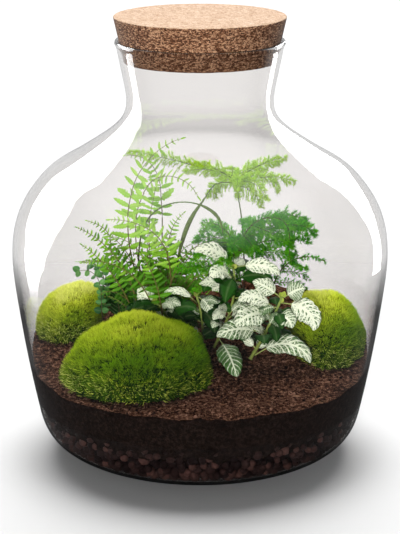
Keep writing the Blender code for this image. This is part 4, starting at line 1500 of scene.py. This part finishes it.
# Painted shade: a very dark green for the leaves inside the tuft, in the shade of the others.
shaded_leaf = leaf_finish("nerve_shaded_leaf", [(0.1, (0.003, 0.014, 0.003)), (1.0, (0.020, 0.095, 0.010))],
                       (0.04, 0.10, 0.02), 0.1, vein=0.10)

# %% The shape of a leaf
STALK_SHARE = 0.22        # how much of a leaf is its own stalk
LEAF_STALK_MM = 0.42      # half the stalk's width and thickness
BLADE_HALF_MM = 0.13      # half the blade's thickness


def nerve_blade(skin, start, heading, rise, fall, length, width, tint, seed, rows=44, columns=13, **more):
    """A leaf stalk that opens into a blade. Across it, v runs from 1 to -1 and its surface lies
    half width x (0.22 |v| - 0.30 v*v) above the midrib, plus quilting between the side veins
    and a slow wave along the edge. An old leaf, with little white, has a blunter end."""
    path = bow(start, heading, rise, fall, 0, length * MM, rows + 2)
    _, across, up = frames(path, 45)
    share = np.linspace(0, 1, rows + 2)
    leafy = np.clip((share - STALK_SHARE) / (1 - STALK_SHARE), 0, 1)[:, None]
    v = np.linspace(1, -1, columns)[None, :]
    scallop = 1 + 0.035 * np.sin(leafy * 2 * math.pi * SIDE_VEINS)
    blunt = np.interp(tint, [0.1, 0.4], [0.48, 0.75])
    half = 0.56 * width * MM * np.sin(math.pi * leafy**0.78) ** blunt * scallop
    half = np.maximum(LEAF_STALK_MM * MM, half)
    on_blade = np.clip(leafy * 12, 0, 1)
    quilt = np.abs(np.sin(math.pi * (SIDE_VEINS * (leafy - SWEEP * np.abs(v)) + 0.5 * (v > 0))))
    quilt = (0.05 * width * MM * (quilt - 0.5)) * (1 - v**4) * np.sqrt(np.abs(v))
    wave = 0.16 * half * v * v * np.sin(leafy * 2 * math.pi * 2.3 + seed)
    lift = half * (0.22 * np.abs(v) - 0.30 * v * v) + (quilt + wave) * on_blade
    flat = path[:, None] + v[..., None] * half[..., None] * across[:, None]
    thick = np.interp(leafy, [0, 0.06], [LEAF_STALK_MM, BLADE_HALF_MM]) * MM
    thick = thick * np.sqrt(np.clip(1 - v * v, 0.02, 1))
    above = flat + (lift + thick)[..., None] * up[:, None]
    below = flat + (lift - thick)[..., None] * up[:, None]
    rings = np.concatenate([above, below[:, -2:0:-1]], axis=1)[1:-1]
    mark_v = np.concatenate([v[0], v[0, -2:0:-1]])
    sides = rings.shape[1]
    points = np.concatenate([rings.reshape(-1, 3), path[:1], path[-1:]])
    skin.add(points, wrap_faces(rows, sides), along=np.append(np.repeat(leafy[1:-1], sides), [0, 1]),
             across=np.append(np.tile(mark_v, rows), [0, 0]), tint=tint, **more)


# %% Leaves at random on a stem
def extra_leaves(stem, path, count, places, sizes, rises, falls, tints, slim, dice, **more):
    """Leaves with a random place, length, heading, rise, fall and tint between the given limits;
    a leaf is slim times as wide as it is long."""
    for number in range(count):
        [[foot]] = at_shares([dice.uniform(*places)], path)
        size = dice.uniform(*sizes)
        nerve_blade(stem, foot, dice.uniform(0, 360), dice.uniform(*rises), dice.uniform(*falls),
                    size, size * slim, dice.uniform(*tints), number, **more)


# %% [markdown]
# A stem is a tube with a knot at every ninth of its length and a few tiny leaves at its tip.
# It also carries the leaves that fill its tuft: small ones, one for every 6 mm, and dark ones
# inside it, in the shade of the others. They are placed at random, since none stands out.

# %% Stems
# root x, y, heading, rise, fall, turn, length; foot radius
NERVE_STEMS = {
    "left": ((10, -12, 20, 60, -47, 39, 62), 1.0),
    "right": ((36, -27, 190, 121, 11, 5, 50), 1.3),
    "low": ((2, -6, 133, 90, 37, -9, 35), 0.8),
    "outer": ((-18, 2, 188, 74, 38, 0, 30), 0.8),
}
STEM_POINTS = 13
FINE_POINTS = 37          # of the stem's skin
STEM_PARTS = 9
TIP_RADIUS_MM = 0.7
YOUNG_LEAVES = 6
SHADED_LEAVES = 15

stem_paths = {}
for which, (row, foot_radius) in NERVE_STEMS.items():
    dice = np.random.default_rng(row[-1])
    path = grown(row, foot_radius * MM, STEM_POINTS)
    stem_paths[which] = path
    stem = Skin()
    share = np.linspace(0, 1, FINE_POINTS)
    [fine] = at_shares(share, path)
    knots = 1 + 0.35 * np.cos(share * math.pi * STEM_PARTS) ** 12
    tube(stem, fine, np.linspace(foot_radius, TIP_RADIUS_MM, FINE_POINTS) * MM * knots, 10)
    each = (YOUNG_LEAVES, 3)
    ahead = unit(fine[-1] - fine[-4]) + dice.normal(0, 0.7, each)
    leaflets(stem, np.broadcast_to(fine[-1], each), ahead, dice.normal(0, 1, each),
             dice.uniform(2.5, 5.0, YOUNG_LEAVES) * MM, round_leaf, sag=0.1, cup=-0.2, finish=1,
             tint=dice.random((YOUNG_LEAVES, 1)))
    extra_leaves(stem, path, row[-1] // 6, places=(0.1, 0.95), sizes=(13, 23), rises=(10, 60),
                 falls=(20, 110), tints=(0.1, 0.8), slim=0.45, dice=dice, rows=22, columns=7, finish=2)
    extra_leaves(stem, path, SHADED_LEAVES, places=(0.15, 0.90), sizes=(15, 31), rises=(-10, 45),
                 falls=(20, 100), tints=(0, 1), slim=0.40, dice=dice, rows=14, columns=5, finish=3)
    stem.piece(f"nerve_stem_{which}", f"nerve_plant_stem_{which}",
               [nerve_stem, young_leaf, nerve_leaf, shaded_leaf])

# %% [markdown]
# The leaves that do stand out are given one by one. Each starts from its stem's side, off the
# middle by the stem's radius there and a little more, so that its stalk just meets the stem.

# %% The leaves
# place on the stem, heading, rise, fall, length, width, whiteness
NERVE_LEAVES = {
    "left": [(.97, 193, 60, 98, 36, 12, .9), (1, 357, 11, 64, 35, 12, .8), (1, 54, 20, 20, 13, 8, .8),
             (.86, 208, 48, 133, 23, 12, .9), (.80, 178, 8, 32, 25, 9, .7), (.62, 209, 59, 107, 21, 9, .6),
             (.62, 345, 13, 91, 15, 10, .5), (.38, 317, 40, 59, 21, 10, .6), (.45, 227, 13, 62, 18, 8, .8),
             (.28, 236, 40, 102, 17, 8, .5), (.12, 285, -4, 36, 49, 15, .20)],
    "right": [(.99, 170, 37, 28, 23, 13, .6), (1, 2, 35, 35, 17, 15, .45), (.80, 196, 44, 83, 32, 12, .8),
              (.92, 335, 3, 118, 36, 16, .7), (.72, 309, 17, 98, 21, 15, .5), (.72, 211, 17, 73, 34, 18, .6),
              (.42, 206, 21, 52, 39, 15, .45), (.08, 333, 38, 115, 52, 14, .5)],
    "low": [(.97, 315, -14, 80, 18, 9, .5), (.45, 150, 30, 10, 17, 13, .9), (.85, 170, 45, 120, 31, 6, .9)],
    "outer": [(1, 164, 36, 8, 17, 14, .85), (.45, 208, 120, 114, 17, 6, .4)],
}
for which, path in stem_paths.items():
    along, _, _ = frames(path)
    foot_radius = NERVE_STEMS[which][1]
    for number, row in enumerate(NERVE_LEAVES[which], start=1):
        place, heading, rise, fall, length, width, tint = row
        [[centre], [way]] = at_shares([place], path, along)
        turn_by, lift = math.radians(heading), math.radians(rise)
        out = np.array([math.cos(lift) * math.cos(turn_by), math.cos(lift) * math.sin(turn_by),
                        math.sin(lift)])
        lean = float(out @ way)
        radius = foot_radius + (TIP_RADIUS_MM - foot_radius) * place
        start = centre + unit(out - way * lean) * (radius + 0.2 + 0.5 * abs(lean)) * MM
        leaf = Skin()
        nerve_blade(leaf, start, heading, rise, fall, length, width, tint, number)
        leaf.piece(f"nerve_leaf_{which}_{number}", f"nerve_plant_leaf_{which}_{number}",
                   [nerve_leaf])
